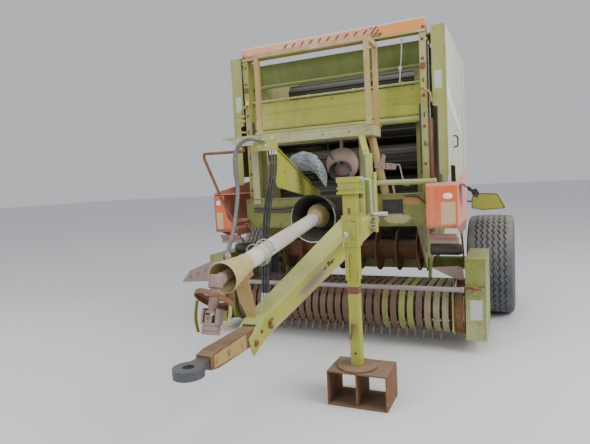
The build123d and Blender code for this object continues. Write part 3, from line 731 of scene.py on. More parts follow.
NODE_COAT: Dict[str, Coat] = {
    "frame_left": Coat.POST,
    "frame_right": Coat.POST,
    "side_cover_left": Coat.COVER,
    "side_cover_right": Coat.COVER,
    "tailgate_covers": Coat.COVER,
    "front_apron": Coat.BRIGHT,
    "front_tubes": Coat.PALE,
    "head_beam": Coat.HEAD,
    "top_beam": Coat.BOARD,
    "platform": Coat.DECK,
    "hitch_eye": Coat.IRON,
    "guard_left": Coat.RED,
    "windguard": Coat.MAUVE,
}


class Paintshop:
    """Makes each finish once and gives it to nodes and pieces."""

    def __init__(self) -> None:
        """Starts with no finish made."""
        self.made: Dict[Coat, bpy.types.Material] = {}

    def get(self, coat: Coat) -> bpy.types.Material:
        """Gives a finish, made at its first use."""
        if coat not in self.made:
            self.made[coat] = coat.value.make()
        return self.made[coat]

    def dress_frame(self) -> None:
        """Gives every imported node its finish: its own, or that of its material slot in the record."""
        slots = {row["node"]: row["material_slot"] for row in frame["record"]["subparts"]}
        for name, node in frame["nodes"].items():
            coat = NODE_COAT.get(name) or SLOT_COAT[Slot(slots[name])]
            for slot in node.material_slots:
                slot.material = self.get(coat)
        LOG.info("dressed %d nodes", len(frame["nodes"]))


# ---------------------------------------------------------------- shapes

MM = 0.001
# edges sharper than this angle in degrees are rounded, in this number of steps
BEVEL_ANGLE = 40.0
BEVEL_STEPS = 2
# y and z of the bale chamber's axis
CHAMBER = (1100.0, 1400.0)
# the drive shaft's guard tube, from its front to its back end
SHAFT: Tuple[Point, Point] = ((0.0, -1400.0, 812.42), (0.0, -300.0, 980.0))


class Along(Enum):
    """The three axes of the row frame, with the two that an outline is drawn on."""

    X = (0, 1, 2)
    Y = (1, 0, 2)
    Z = (2, 0, 1)


def unit(vector: Any) -> Array:
    """Vector of length 1 in the same direction."""
    v = np.asarray(vector, float)
    return v / np.linalg.norm(v)


def across(axis: Any) -> Tuple[Array, Array]:
    """Two unit vectors square to an axis and to each other; the first is X where that is possible."""
    a = unit(axis)
    first = np.array([1.0, 0.0, 0.0]) if abs(a[0]) < 0.9 else np.array([0.0, 1.0, 0.0])
    first = unit(first - a * (first @ a))
    return first, np.cross(a, first)


def ring(sides: int, turn: float = 0.0) -> Array:
    """Unit circle: cosine and sine of equal steps, first turned by an angle."""
    angle = np.linspace(0.0, 2.0 * np.pi, sides, endpoint=False) + turn
    return np.stack([np.cos(angle), np.sin(angle)], axis=1)


def arc(centre: Sequence[float], radius: Any, turn: Array) -> Array:
    """Points round a centre, at one radius or at one for each angle of turn."""
    return np.stack([centre[0] + radius * np.cos(turn), centre[1] + radius * np.sin(turn)], axis=1)


def columns(*parts: Any) -> Array:
    """Puts coordinates side by side, each spread to the shape that they share."""
    return np.stack(np.broadcast_arrays(*parts), axis=-1)


def bent(points: Any, radius: float, steps: int = 6) -> Array:
    """Path of a bent rod.

    Each corner gives way to a parabola from a point before it to a point after it:
    (1-t)^2 a + 2t(1-t) corner + t^2 b.

    Args:
        points: corners in millimetres.
        radius: how far before and after a corner the bend reaches.
        steps: points on each bend.

    Returns:
        The path's points.
    """
    p = np.asarray(points, float)
    path = [p[:1]]
    t = np.linspace(0.0, 1.0, steps)[:, None]
    for before, corner, after in zip(p, p[1:], p[2:]):
        reach = min(radius, np.linalg.norm(corner - before) * 0.45, np.linalg.norm(after - corner) * 0.45)
        a, b = corner - unit(corner - before) * reach, corner + unit(after - corner) * reach
        path.append((1 - t) ** 2 * a + 2 * t * (1 - t) * corner + t ** 2 * b)
    return np.concatenate(path + [p[-1:]])


class Shape:
    """Collects the surfaces of one piece, in millimetres, and makes them one mesh."""

    def __init__(self) -> None:
        """Starts empty."""
        self.points: List[Array] = []
        self.faces: List[List[int]] = []
        self.count = 0

    def net(self, grid: Array, around: bool = True, caps: bool = True, closed: bool = False) -> "Shape":
        """Adds a grid of points as quads.

        Args:
            grid: points, rows by columns by 3.
            around: whether the last column joins the first.
            caps: whether the first and last rows get a face.
            closed: whether the last row joins the first.

        Returns:
            The shape.
        """
        rows, cols = grid.shape[:2]
        row = np.arange(rows if closed else rows - 1)[:, None]
        col = np.arange(cols if around else cols - 1)[None, :]
        down, right = (row + 1) % rows, (col + 1) % cols
        quads = columns(row * cols + col, row * cols + right, down * cols + right, down * cols + col)
        self.faces += (quads.reshape(-1, 4) + self.count).tolist()
        if caps and around and not closed:
            self.faces.append((np.arange(cols)[::-1] + self.count).tolist())
            self.faces.append((np.arange(cols) + (rows - 1) * cols + self.count).tolist())
        self.points.append(np.asarray(grid, float).reshape(-1, 3))
        self.count += rows * cols
        return self

    def carried(self, profile: Array, path: Array, scale: Any = 1.0) -> "Shape":
        """Carries a closed profile along a path, square to it, without twist.

        Args:
            profile: (a, b) points of the section.
            path: points in millimetres.
            scale: size of the section at each point of the path.

        Returns:
            The shape.
        """
        path = np.asarray(path, float)
        ahead = np.gradient(path, axis=0)
        ahead /= np.linalg.norm(ahead, axis=1, keepdims=True)
        side = across(ahead[0])[0]
        frames = []
        for direction in ahead:
            side = unit(side - direction * (side @ direction))
            frames.append((side, np.cross(direction, side)))
        sides = np.array([f[0] for f in frames])[:, None, :]
        ups = np.array([f[1] for f in frames])[:, None, :]
        size = np.broadcast_to(np.asarray(scale, float), (len(path),))[:, None, None]
        grid = path[:, None, :] + size * (profile[None, :, :1] * sides + profile[None, :, 1:] * ups)
        return self.net(grid)

    def tube(self, points: Any, radius: float, bend: float = 0.0, sides: int = 14) -> "Shape":
        """Adds a round bar through points, with bends at its corners."""
        path = bent(points, bend) if bend else np.asarray(points, float)
        return self.carried(ring(sides) * radius, path)

    def prism(self, along: Along, low: float, high: float, outline: Any) -> "Shape":
        """Extrudes an outline between two planes.

        Args:
            along: the axis that the planes are square to.
            low: the first plane's place.
            high: the second plane's place.
            outline: points on the two other axes, in their order.

        Returns:
            The shape.
        """
        outline = np.asarray(outline, float)
        grid = np.zeros((2, len(outline), 3))
        main, first, second = along.value
        grid[:, :, first], grid[:, :, second] = outline[:, 0], outline[:, 1]
        grid[0, :, main], grid[1, :, main] = low, high
        return self.net(grid)

    def block(self, low: Any, high: Any) -> "Shape":
        """Adds the box between two corners."""
        (x0, y0, z0), (x1, y1, z1) = low, high
        return self.prism(Along.Z, z0, z1, [(x0, y0), (x1, y0), (x1, y1), (x0, y1)])

    def turned(
        self, origin: Any, axis: Any, profile: Any, closed: bool = False, sides: int = 40, turn: float = 0.0
    ) -> "Shape":
        """Turns a profile about an axis: origin + offset * axis + radius * (cos a * u + sin a * v).

        Args:
            origin: a point of the axis.
            axis: its direction.
            profile: (offset, radius) points.
            closed: whether the profile's end joins its start, as on a ring.
            sides: steps round.
            turn: angle of the first step.

        Returns:
            The shape.
        """
        u, v = across(axis)
        p = np.asarray(profile, float)
        circle = ring(sides, turn)
        round_ = circle[:, :1] * u + circle[:, 1:] * v
        grid = np.asarray(origin, float) + p[:, None, :1] * unit(axis) + p[:, None, 1:] * round_[None]
        return self.net(grid, closed=closed, caps=not closed)

    def bar(
        self, origin: Any, axis: Any, spot: Tuple[float, float], size: Tuple[float, float],
        span: Tuple[float, float],
    ) -> "Shape":
        """Adds a square-ended bar beside an axis.

        Args:
            origin: a point of the axis.
            axis: its direction.
            spot: the bar's middle on the two directions across it.
            size: its width on each.
            span: where it starts and ends on the axis.

        Returns:
            The shape.
        """
        u, v = across(axis)
        corners = np.array([(-1, -1), (1, -1), (1, 1), (-1, 1)]) * np.array(size) / 2 + np.array(spot)
        flat = corners[:, :1] * u + corners[:, 1:] * v
        grid = np.asarray(origin, float) + np.array(span)[:, None, None] * unit(axis) + flat[None]
        return self.net(grid)

    def bolt(self, place: Any, axis: Any, size: float = 9.0) -> "Shape":
        """Adds a hexagon head on a washer, standing on a face along the axis."""
        self.turned(place, axis, [(-0.5, size * 1.35), (size * 0.22, size * 1.35)], sides=16)
        return self.turned(place, axis, [(0, size), (size * 0.75, size), (size * 0.95, size * 0.8)], sides=6)

    def slab(self, side: float, near: float, far: float, outline: Any) -> "Shape":
        """Prism along x on the machine's left (side 1) or right (side -1), from a (y, z) outline."""
        low, high = sorted((side * near, side * far))
        return self.prism(Along.X, low, high, outline)

    def pad(self, side: float, near: float, far: float, low: Any, high: Any) -> "Shape":
        """Block on the machine's left (side 1) or right (side -1), between two (y, z) corners."""
        start, end = sorted((side * near, side * far))
        return self.block((start, *low), (end, *high))

    def mesh(self, name: str) -> bpy.types.Mesh:
        """Makes the mesh in metres, with its normals turned outwards."""
        mesh = bpy.data.meshes.new(name)
        mesh.from_pydata((np.concatenate(self.points) * MM).tolist(), [], self.faces)
        work = bmesh.new()
        work.from_mesh(mesh)
        bmesh.ops.recalc_face_normals(work, faces=work.faces)
        work.to_mesh(mesh)
        work.free()
        mesh.update()
        return mesh


@dataclass
class Assembly:
    """A sub-assembly: its sizes, and the methods that build and dress its pieces."""

    shop: Paintshop

    def fit(
        self,
        shape: Shape,
        name: str,
        coat: Coat,
        slot: Slot,
        body: str = "chassis",
        stands_for: Sequence[str] = (),
        bevel: float = 1.2,
        smooth: float = 35.0,
    ) -> bpy.types.Object:
        """Makes a piece of a shape, dresses it and sets it on its body.

        Args:
            shape: the collected surfaces.
            name: the piece's name.
            coat: its finish.
            slot: the record's slot that the finish belongs to; not used.
            body: the body that it rides on.
            stands_for: the nodes that it replaces.
            bevel: width of its rounded edges in millimetres, or 0.
            smooth: angle in degrees under which edges are shaded smooth.

        Returns:
            The piece.
        """
        mesh = shape.mesh(name)
        mesh.materials.append(self.shop.get(coat))
        mesh.shade_smooth()
        mesh.set_sharp_from_angle(angle=math.radians(smooth))
        piece = bpy.data.objects.new(name, mesh)
        bpy.context.scene.collection.objects.link(piece)
        if bevel:
            edge = piece.modifiers.new("edges", "BEVEL")
            edge.width = bevel * MM
            edge.segments = BEVEL_STEPS
            edge.limit_method = "ANGLE"
            edge.angle_limit = math.radians(BEVEL_ANGLE)
            edge.use_clamp_overlap = True
        return self.mount(piece, slot, body, stands_for)

    def mount(
        self, piece: bpy.types.Object, slot: Slot, body: str = "chassis", stands_for: Sequence[str] = ()
    ) -> bpy.types.Object:
        """Sets a piece on its body and hides what it stands for."""
        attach(piece, body)
        if stands_for:
            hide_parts(*stands_for)
        LOG.info("%s on %s", piece.name, body)
        return piece


# ---------------------------------------------------------------- wheels


@dataclass
class Wheels(Assembly):
    """Treaded tyres with hub bolts, in millimetres."""

    x: float = 1066.0
    y: float = 1070.0
    radius: float = 425.0
    width: float = 368.0
    rim: float = 216.0
    grooves: int = 7
    depth: float = 11.0
    zigzags: int = 44
    swing: float = 9.0
    groove_share: float = 0.13
    sipe_share: float = 0.10
    ramp: float = 0.05
    crown_steps: int = 85
    turn_steps: int = 440
    nuts: int = 8
    nut_circle: float = 84.0

    def build(self) -> None:
        """Builds both wheels' pieces."""
        for side, label in ((1.0, "left"), (-1.0, "right")):
            self.tyre(side, label)
            self.hub(side, label)

    def tyre(self, side: float, label: str) -> None:
        """Tyre surface: a sidewall and crown profile turned about the axle, less zigzag grooves.

        The groove's depth is a narrow bump of the fraction of (w + swing * zigzag(angle)) over the
        pitch of the grooves, where the zigzag is a triangle wave of the angle. The sipes are short
        cuts across both shoulders, two for each zigzag.

        Args:
            side: 1 for the machine's left, -1 for its right.
            label: "left" or "right".
        """
        half = self.width / 2
        crown = np.linspace(-half + 30, half - 30, self.crown_steps)
        wall_w = np.array([-half + 45, -half + 22, -half + 8, -half, -half + 2, -half + 9, -half + 19])
        wall_r = np.array(
            [
                self.rim + 0.3, self.rim + 22, self.rim + 55, self.rim + 105, self.radius - 62,
                self.radius - 28, self.radius - 12,
            ]
        )
        crown_r = self.radius - 9.0 * np.abs(crown / (half - 30)) ** 3
        w = np.concatenate([wall_w, crown, -wall_w[::-1]])
        r = np.concatenate([wall_r, crown_r, wall_r[::-1]])
        angle = np.linspace(0, 2 * np.pi, self.turn_steps, endpoint=False)
        wave = np.abs(((angle * self.zigzags / (2 * np.pi)) % 1.0) * 2 - 1) * 2 - 1
        pitch = (self.width - 66) / self.grooves
        phase = ((w[None, :] + self.swing * wave[:, None]) / pitch) % 1.0
        cut = np.clip((self.groove_share - np.abs(phase - 0.5)) / self.ramp, 0, 1)
        step = (angle * self.zigzags / np.pi) % 1.0
        sipe = np.clip((self.sipe_share - np.abs(step - 0.5)) / self.ramp, 0, 1)[:, None]
        sipe = sipe * (np.abs(w) > half - 60)[None, :]
        tread = (np.abs(w) < half - 22)[None, :]
        middle = (np.abs(w) < half - 45)[None, :]
        radius = r[None, :] - self.depth * np.maximum(cut * middle, sipe * 0.8) * tread
        y = self.y + radius * np.cos(angle)[:, None]
        grid = columns(side * self.x + w[None, :], y, self.radius + radius * np.sin(angle)[:, None])
        shape = Shape().net(grid, around=True, closed=True)
        self.fit(
            shape, f"tread_{label}", Coat.TYRE, Slot.TYRE, f"wheel_{label}", [f"tyre_{label}"], bevel=0.0,
            smooth=30.0,
        )

    def hub(self, side: float, label: str) -> None:
        """Hub cap with a ring of nuts on the wheel's disc."""
        centre = np.array([side * (self.x + 33), self.y, self.radius])
        out = (side, 0.0, 0.0)
        shape = Shape().turned(centre, out, [(-2, 52), (38, 48), (46, 40), (48, 2)], sides=28)
        for cos, sin in ring(self.nuts) * self.nut_circle:
            shape.bolt(centre + np.array([0.0, cos, sin]), out, 11.0)
        self.fit(shape, f"hub_{label}", Coat.RIM, Slot.RIM, f"wheel_{label}")


# ---------------------------------------------------------------- hitch and drawbar


@dataclass
class Drawbar(Assembly):
    """Tapered channel with cheeks, tongue, link to the head and the jack's arm, in millimetres."""

    front_y: float = -1275.0
    front_top: float = 530.0
    front_width: float = 100.0
    rear: Point = (342.0, -475.0, 1002.0)
    rear_width: float = 180.0
    depth: float = 125.0
    wall: float = 9.0
    tongue: Tuple[float, float] = (404.0, 488.0)
    tongue_front: float = -1780.0
    cheek: Outline = (
        (-1275, 530), (-1364, 503), (-1422, 469), (-1461, 450), (-1418, 353), (-1308, 396), (-1275, 405)
    )
    jack_arm: Outline = ((425, -957), (485, -957), (340, -600), (300, -640))
    # place on y, height and length of each clip mark on the beam's side
    clips: Route = ((-815, 16, 40), (-842, 40, 16), (-870, 10, 26))

    def build(self) -> None:
        """Builds the beam, the tongue and the fittings on them."""
        self.beam()
        self.nose()
        self.fittings()

    def section(self, x: float, y: float, top: float, width: float) -> Array:
        """Open channel section: outer and inner walls round an open bottom, at one y."""
        half, inner, low = width / 2, width / 2 - self.wall, top - self.depth
        a = [
            (-half, low), (-half, top), (half, top), (half, low), (inner, low), (inner, top - self.wall),
            (-inner, top - self.wall), (-inner, low),
        ]
        a = np.array(a)
        return columns(x + a[:, 0], y, a[:, 1])

    def beam(self) -> None:
        """Beam between two sections, with its link, gusset, channel post, jack arm and cheeks."""
        x, y, top = self.rear
        front = self.section(0.0, self.front_y, self.front_top, self.front_width)
        shape = Shape().net(np.stack([front, self.section(x, y, top, self.rear_width)]))
        shape.block((255, y, 900), (345, -75, 1080))
        shape.prism(Along.X, 255, 263, [(y - 150, top - 90), (y, top - 1), (y, 1080)])
        shape.block((386, y, 876), (464, y + 8, 1210))
        shape.block((386, y - 45, 876), (394, y + 8, 1210))
        shape.block((456, y - 45, 876), (464, y + 8, 1256))
        shape.block((396, y, 1209), (440, y + 8, 1376))
        shape.prism(Along.Z, 860, 900, self.jack_arm)
        half = self.front_width / 2
        shape.prism(Along.X, half - 10, half, self.cheek)
        shape.prism(Along.X, -half, 10 - half, self.cheek)
        shape.prism(Along.X, 10 - half, half - 10, [(-1275, 530), (-1364, 503), (-1364, 493), (-1275, 520)])
        shape.block((-half, -1322, 505), (20, -1302, 520))
        self.fit(shape, "drawbar_beam", Coat.BEAM, Slot.GREEN, stands_for=["drawbar"], bevel=2.5)

    def nose(self) -> None:
        """Tongue between the cheeks, in three plates, with its bolts."""
        low, high = self.tongue
        front = self.tongue_front
        outline = [
            (self.front_y, low), (self.front_y, high), (front + 60, high), (front, high - 10),
            (front, low + 10), (front + 60, low),
        ]
        core = Shape().prism(Along.X, -40, 40, outline)
        self.fit(core, "tongue_core", Coat.RUST, Slot.RUST, stands_for=["drawbar_tongue"], bevel=2.0)
        plate = [(front + 20, low + 14), (front + 20, high - 14), (-1480, high - 4), (-1480, low + 4)]
        shape = Shape().prism(Along.X, 40, 44, plate).prism(Along.X, -44, -40, plate)
        for y in (-1740, -1640, -1520):
            shape.bolt((44, y, 446), (1, 0, 0), 11).bolt((-44, y, 446), (-1, 0, 0), 11)
        self.fit(shape, "tongue_plates", Coat.OCHRE, Slot.RUST, bevel=1.0)

    def fittings(self) -> None:
        """Boss rings, pins and bolts at the cheeks; dark clips on the beam's side."""
        shape = Shape()
        for side in (-1, 1):
            out = (side, 0, 0)
            shape.turned(
                (15 + side * 51.8, -1240, 474), out, [(-2, 29), (3, 29), (5, 26), (5, 17), (1, 15), (1, 1)],
                sides=28,
            )
            shape.turned((side * 50, -1397, 413), out, [(-1, 17), (9, 17), (12, 13), (12, 1)], sides=6)
            shape.bolt((side * 50, -1330, 455), out, 9)
        self.fit(shape, "cheek_pins", Coat.RUST, Slot.RUST)
        marks = Shape()
        lean = unit((236, 800, 472))
        x, y, top = self.rear
        for spot, tall, long in self.clips:
            share = (spot - self.front_y) / (y - self.front_y)
            place = np.array(
                [x * share + 47 + 40 * share, spot, self.front_top + (top - self.front_top) * share - 60]
            )
            marks.bar(place, lean, (0, 0), (9, tall), (-long / 2, long / 2))
        self.fit(marks, "beam_clips", Coat.DARK, Slot.DARK, bevel=0.8)


# ---------------------------------------------------------------- jack


@dataclass
class Jack(Assembly):
    """Parking jack with its crank, pins and chain wire, in millimetres."""

    x: float = 455.0
    y: float = -1000.0
    leg: float = 58.0
    leg_top: float = 830.0
    box_top: float = 190.0
    tube: float = 35.0
    bore: float = 31.0
    clamp: float = 43.0
    foot: float = 108.0
    crank_x: float = 513.0
    crank_z: float = 1213.0
    # half width, bottom and top of the solid head and its plates
    head: Route = ((52, 1139, 1229), (58, 1139, 1151), (58, 1167, 1175), (58, 1200, 1229))

    def square(self, shape: Shape, half: float, low: float, high: float) -> None:
        """Adds a square block about the jack's axis."""
        shape.block((self.x - half, self.y - half, low), (self.x + half, self.y + half, high))

    def build(self) -> None:
        """Builds the sleeve, the leg, the crank and the small fittings."""
        self.sleeve()
        self.inner_leg()
        self.crank()
        self.pin()
        self.wire()

    def sleeve(self) -> None:
        """Solid head, with the tube and its clamp under it; the tube is open in front for the leg's pins."""
        sleeve = Shape()
        for half, low, high in self.head:
            self.square(sleeve, half, low, high)
        x, y, tube, bore = self.x, self.y, self.tube, self.bore
        for outer, inner, low, high in ((tube, bore, 820, 1139), (self.clamp, tube, 857, 1026)):
            sleeve.block((x - outer, y - outer, low), (x - inner, y + outer, high))
            sleeve.block((x + inner, y - outer, low), (x + outer, y + outer, high))
            sleeve.block((x - inner, y - outer, low), (x + inner, y - inner, high))
            sleeve.block((x - inner, y + inner, low), (x + inner, y + outer, high))
        # the slotted lower end, which lets the leg's pins rise
        for start, end in (
            ((-tube, -tube), (-bore, tube)), ((bore, -tube), (tube, tube)), ((-bore, bore), (bore, tube)),
            ((-bore, -tube), (-11, -bore)), ((11, -tube), (bore, -bore)),
        ):
            sleeve.block((x + start[0], y + start[1], 673), (x + end[0], y + end[1], 820))
        for z in (880, 1000):
            for side in (-22, 22):
                sleeve.bolt((self.x + side, self.y - 43, z), (0, -1, 0), 8)
        self.fit(sleeve, "jack_tube", Coat.BRIGHT, Slot.GREEN, stands_for=["jack_sleeve"], bevel=2.0)
        slot = Shape().block((self.x - 8, self.y - 36, 1033), (self.x + 8, self.y - 34.6, 1065))
        self.fit(slot, "jack_slots", Coat.RUST, Slot.RUST, bevel=0.0)

    def inner_leg(self) -> None:
        """Leg that slides in the tube, with its foot, band and pins."""
        leg = Shape()
        self.square(leg, self.leg / 2, self.box_top + 12, self.leg_top)
        self.fit(leg, "jack_inner_leg", Coat.BRIGHT, Slot.GREEN, "jack", ["jack_leg"], bevel=2.0)
        foot = Shape().turned(
            (self.x, self.y, self.box_top),
            (0, 0, 1),
            [(0, self.foot - 2), (2, self.foot), (10, self.foot), (12, self.foot - 3)],
            sides=48,
        )
        # thin dark disc on the leg's front at z 272 stands in for a hole: painted shade
        foot.turned((self.x, self.y - 29.2, 272), (0, -1, 0), [(-1, 8), (1, 8), (1.2, 1)], sides=16)
        self.fit(foot, "jack_foot", Coat.RUST, Slot.RUST, "jack", bevel=0.0)
        band = Shape()
        self.square(band, self.leg / 2 + 1.0, 600, 640)
        band.tube([(self.x, self.y - 28, 430), (self.x, self.y - 60, 430)], 7.0)
        band.tube(
            [(self.x, self.y - 56, 446), (self.x - 4, self.y - 56, 400), (self.x - 16, self.y - 56, 360)],
            8.0,
            20.0,
        )
        self.fit(band, "leg_pins", Coat.RUST, Slot.RUST, "jack")

    def crank(self) -> None:
        """Crank at the head's side, with its grip and collar."""
        cx, cz = self.crank_x, self.crank_z
        crank = Shape().tube(
            [(cx - 2, self.y, cz), (cx + 53, self.y, cz), (cx + 56, self.y, 1028), (cx + 142, self.y, 1028)],
            6.0,
            16.0,
        )
        crank.turned((cx + 62, self.y, 1028), (1, 0, 0), [(0, 9), (3, 11), (77, 11), (80, 9)], sides=20)
        crank.turned((cx - 2, self.y, cz), (1, 0, 0), [(0, 15), (16, 15), (18, 12)], sides=20)
        self.fit(crank, "jack_crank", Coat.ZINC, Slot.DARK)

    def pin(self) -> None:
        """Pin through the clamp, with its ring and wire clip."""
        pin = Shape().tube([(self.x - 4, self.y - 42, 930), (self.x - 4, self.y - 84, 930)], 9.0)
        pin.turned((self.x - 4, self.y - 84, 930), (0, -1, 0), [(0, 14), (8, 14), (10, 11)], sides=20)
        pin.tube(
            [
                (self.x - 4, self.y - 78, 930), (self.x - 22, self.y - 76, 908),
                (self.x - 30, self.y - 66, 862), (self.x - 26, self.y - 46, 842),
            ],
            2.2,
            12.0,
            8,
        )
        self.fit(pin, "jack_pin", Coat.ZINC, Slot.DARK, bevel=0.6)

    def wire(self) -> None:
        """Three loops of wire hanging from the crank's arm: stretched arcs of almost a whole turn."""
        loops = Shape()
        for k, (reach, drop) in enumerate(((38, 60), (52, 42), (24, 30))):
            t = np.linspace(0, np.pi * 1.85, 26)
            path = columns(
                self.crank_x + 66 + reach * np.sin(t) * 0.6, self.y + 3 * k - 14 + 4 * np.cos(t),
                1016 - drop * (1 - np.cos(t)) / 2,
            )
            loops.carried(ring(8) * 1.6, path)
        self.fit(loops, "crank_wire", Coat.ZINC, Slot.DARK, bevel=0.0)


# ---------------------------------------------------------------- drive line


@dataclass
class DriveLine(Assembly):
    """Guarded shaft, cones, front joint with its round guard, stand and bell rim, in millimetres."""

    front: Point = SHAFT[0]
    back: Point = SHAFT[1]
    radius: float = 46.0
    core: float = 26.0
    ring_centre: Point = (0.0, -1668.0, 700.0)
    ring_axis: Point = (0.0, -0.3, -0.9539)
    ring_radius: float = 95.0
    ring_tilt: Point = (-0.114, -0.614, -0.783)
    coupling: float = 43.0
    bore: float = 17.5
    plate: Outline = ((-301, 737), (-246, 799), (-107, 851), (-61, 860), (-61, 760), (-148, 746))
    # (offset, radius) round each hollow cone's section
    front_cone: Outline = (
        (-191, 77), (-188, 80), (-182, 80), (-178, 76.5), (-95, 66), (-10, 52), (0, 51), (27, 51),
        (27, 46.3), (0, 46.3), (-10, 48), (-95, 62), (-186, 73), (-191, 74),
    )
    rear_cone: Outline = ((985, 51), (1010, 56), (1085, 84), (1085, 80), (1010, 52), (985, 46.3))

    def build(self) -> None:
        """Builds every piece of the drive line."""
        self.axis = unit(np.array(self.back) - np.array(self.front))
        self.length = float(np.linalg.norm(np.array(self.back) - np.array(self.front)))
        self.guard_tube()
        self.cones()
        self.joint()
        self.stand()
        self.bell_rim()

    def guard_tube(self) -> None:
        """White guard tube with shallow rings near its ends, and the core that runs out of it."""
        r, n = self.radius, self.length
        profile = [
            (0, r - 1), (2, r), (60, r), (62, r - 1.2), (70, r - 1.2), (72, r), (n * 0.52, r),
            (n * 0.52 + 2, r - 2.4), (n - 2, r - 2.4), (n, r - 3.4),
        ]
        shape = Shape().turned(self.front, self.axis, profile, sides=56)
        self.fit(shape, "guard_tube", Coat.WHITE, Slot.WHITE, stands_for=["pto_shaft"], bevel=0.0)

    def cones(self) -> None:
        """Front and rear guard cones, hollow, with rolled rims, and the plate beside the front one."""
        shape = Shape()
        for section in (self.front_cone, self.rear_cone):
            shape.turned(self.front, self.axis, section, closed=True, sides=56)
        self.fit(shape, "guard_cones", Coat.YELLOW, Slot.YELLOW, stands_for=["pto_guard"], bevel=0.0)
        plate = Shape().prism(Along.Y, -1503, -1497, self.plate)
        for x, z in ((-250, 768), (-205, 785), (-160, 800)):
            plate.bolt((x, -1503, z), (0, -1, 0), 7)
        self.fit(plate, "guard_plate", Coat.PINK, Slot.RUST)

    def joint(self) -> None:
        """Stem, ears, cross and splined coupling, with the round guard and its strips."""
        a = unit(self.ring_axis)
        centre = np.array(self.ring_centre)
        top = centre - a * 80
        end = np.array(self.front) - self.axis * 192
        shape = Shape().tube([self.front, end], self.core, sides=24).tube([end, top], self.core + 4, sides=24)
        shape.turned(centre, a, [(-95, 20), (-92, 24), (55, 24)], sides=24)
        shape.turned(top, a, [(-34, 22), (-30, 34), (26, 34), (30, 22)], sides=24)
        shape.turned(centre, a, [(50, 34), (62, 34)], sides=24)
        # ears of both yokes: place across the axis, width on each direction, span on the axis
        for spot, size, span in (
            ((29, 0), (10, 34), (60, 100)),
            ((0, 29), (34, 10), (70, 110)),
            ((38, 0), (12, 52), (40, 112)),
        ):
            for side in (-1, 1):
                shape.bar(centre, a, (side * spot[0], side * spot[1]), size, span)
        u, v = across(a)
        for direction in (u, v):
            middle = centre + a * 84
            shape.tube([middle - direction * 34, middle + direction * 34], 9.0)
        r, b = self.coupling, self.bore
        profile = [
            (104, r), (116, r), (117, r - 4), (121, r - 4), (122, r), (138, r), (139, r - 4), (143, r - 4),
            (144, r), (156, r), (156, b), (104, b),
        ]
        shape.turned(centre, a, profile, closed=True, sides=40)
        self.fit(shape, "front_joint", Coat.PINK, Slot.RUST, stands_for=["pto_yoke"], bevel=1.5)
        tilt = unit(self.ring_tilt)
        guard = Shape().turned(
            centre,
            tilt,
            [
                (-12, self.ring_radius - 3), (-9, self.ring_radius), (12, self.ring_radius), (14, 92),
                (12, 87), (-4, 85), (-4, 58), (-12, 58),
            ],
            closed=True,
            sides=56,
        )
        side, high = across(tilt)
        for spoke in (side, -side, high):
            guard.tube([centre + spoke * 20 - tilt * 6, centre + spoke * 62 - tilt * 8], 7.0)
        self.fit(guard, "joint_guard", Coat.RUST, Slot.RUST, bevel=0.0)
        cap = Shape().turned(centre - a * 96, -a, [(-2, 13), (6, 13), (9, 10), (10, 2)], sides=20)
        self.fit(cap, "grease_cap", Coat.YELLOW, Slot.YELLOW, bevel=0.8)
        strips = Shape()
        for side, low in ((-1, 150), (1, 128)):
            path = np.array(
                [
                    centre + u * side * 90 + tilt * 8, centre + u * side * 93 + a * 66,
                    centre + u * side * 86 + a * 105, centre + u * side * 66 + a * low,
                ]
            )
            profile = np.array([(-12, -1.5), (12, -1.5), (12, 1.5), (-12, 1.5)])
            strips.carried(profile[:, ::-1], bent(path, 14, 4))
        self.fit(strips, "guard_strips", Coat.BRIGHT, Slot.GREEN, bevel=0.6)

    def stand(self) -> None:
        """Bent stand plate under the guard tube."""
        slope = self.axis[2] / self.axis[1]
        top = self.front[2] + (-1316 - self.front[1]) * slope - self.radius / self.axis[1] - 0.1
        outline = [
            (-40, 520), (5, 520), (14, 556), (-22, 718), (10, 745), (2, top), (-32, top), (-60, 760),
            (-104, 699), (-86, 608),
        ]
        shape = Shape().prism(Along.Y, -1316, -1308, outline)
        shape.bolt((-70, -1316, 690), (0, -1, 0), 8).bolt((-20, -1316, 545), (0, -1, 0), 8)
        self.fit(shape, "shaft_stand", Coat.OCHRE, Slot.RUST, stands_for=["pto_stand"])

    def bell_rim(self) -> None:
        """Rolled light-grey rim of the bell round the rear of the shaft."""
        profile = ring(10) * 3.5 + np.array([0.0, 161.5])
        shape = Shape().turned((0, -431, 965), (0, -1, 0.057), profile, closed=True, sides=72)
        self.fit(shape, "bell_rim", Coat.ZINC, Slot.DARK, bevel=0.0)


# ---------------------------------------------------------------- platform and what hangs there


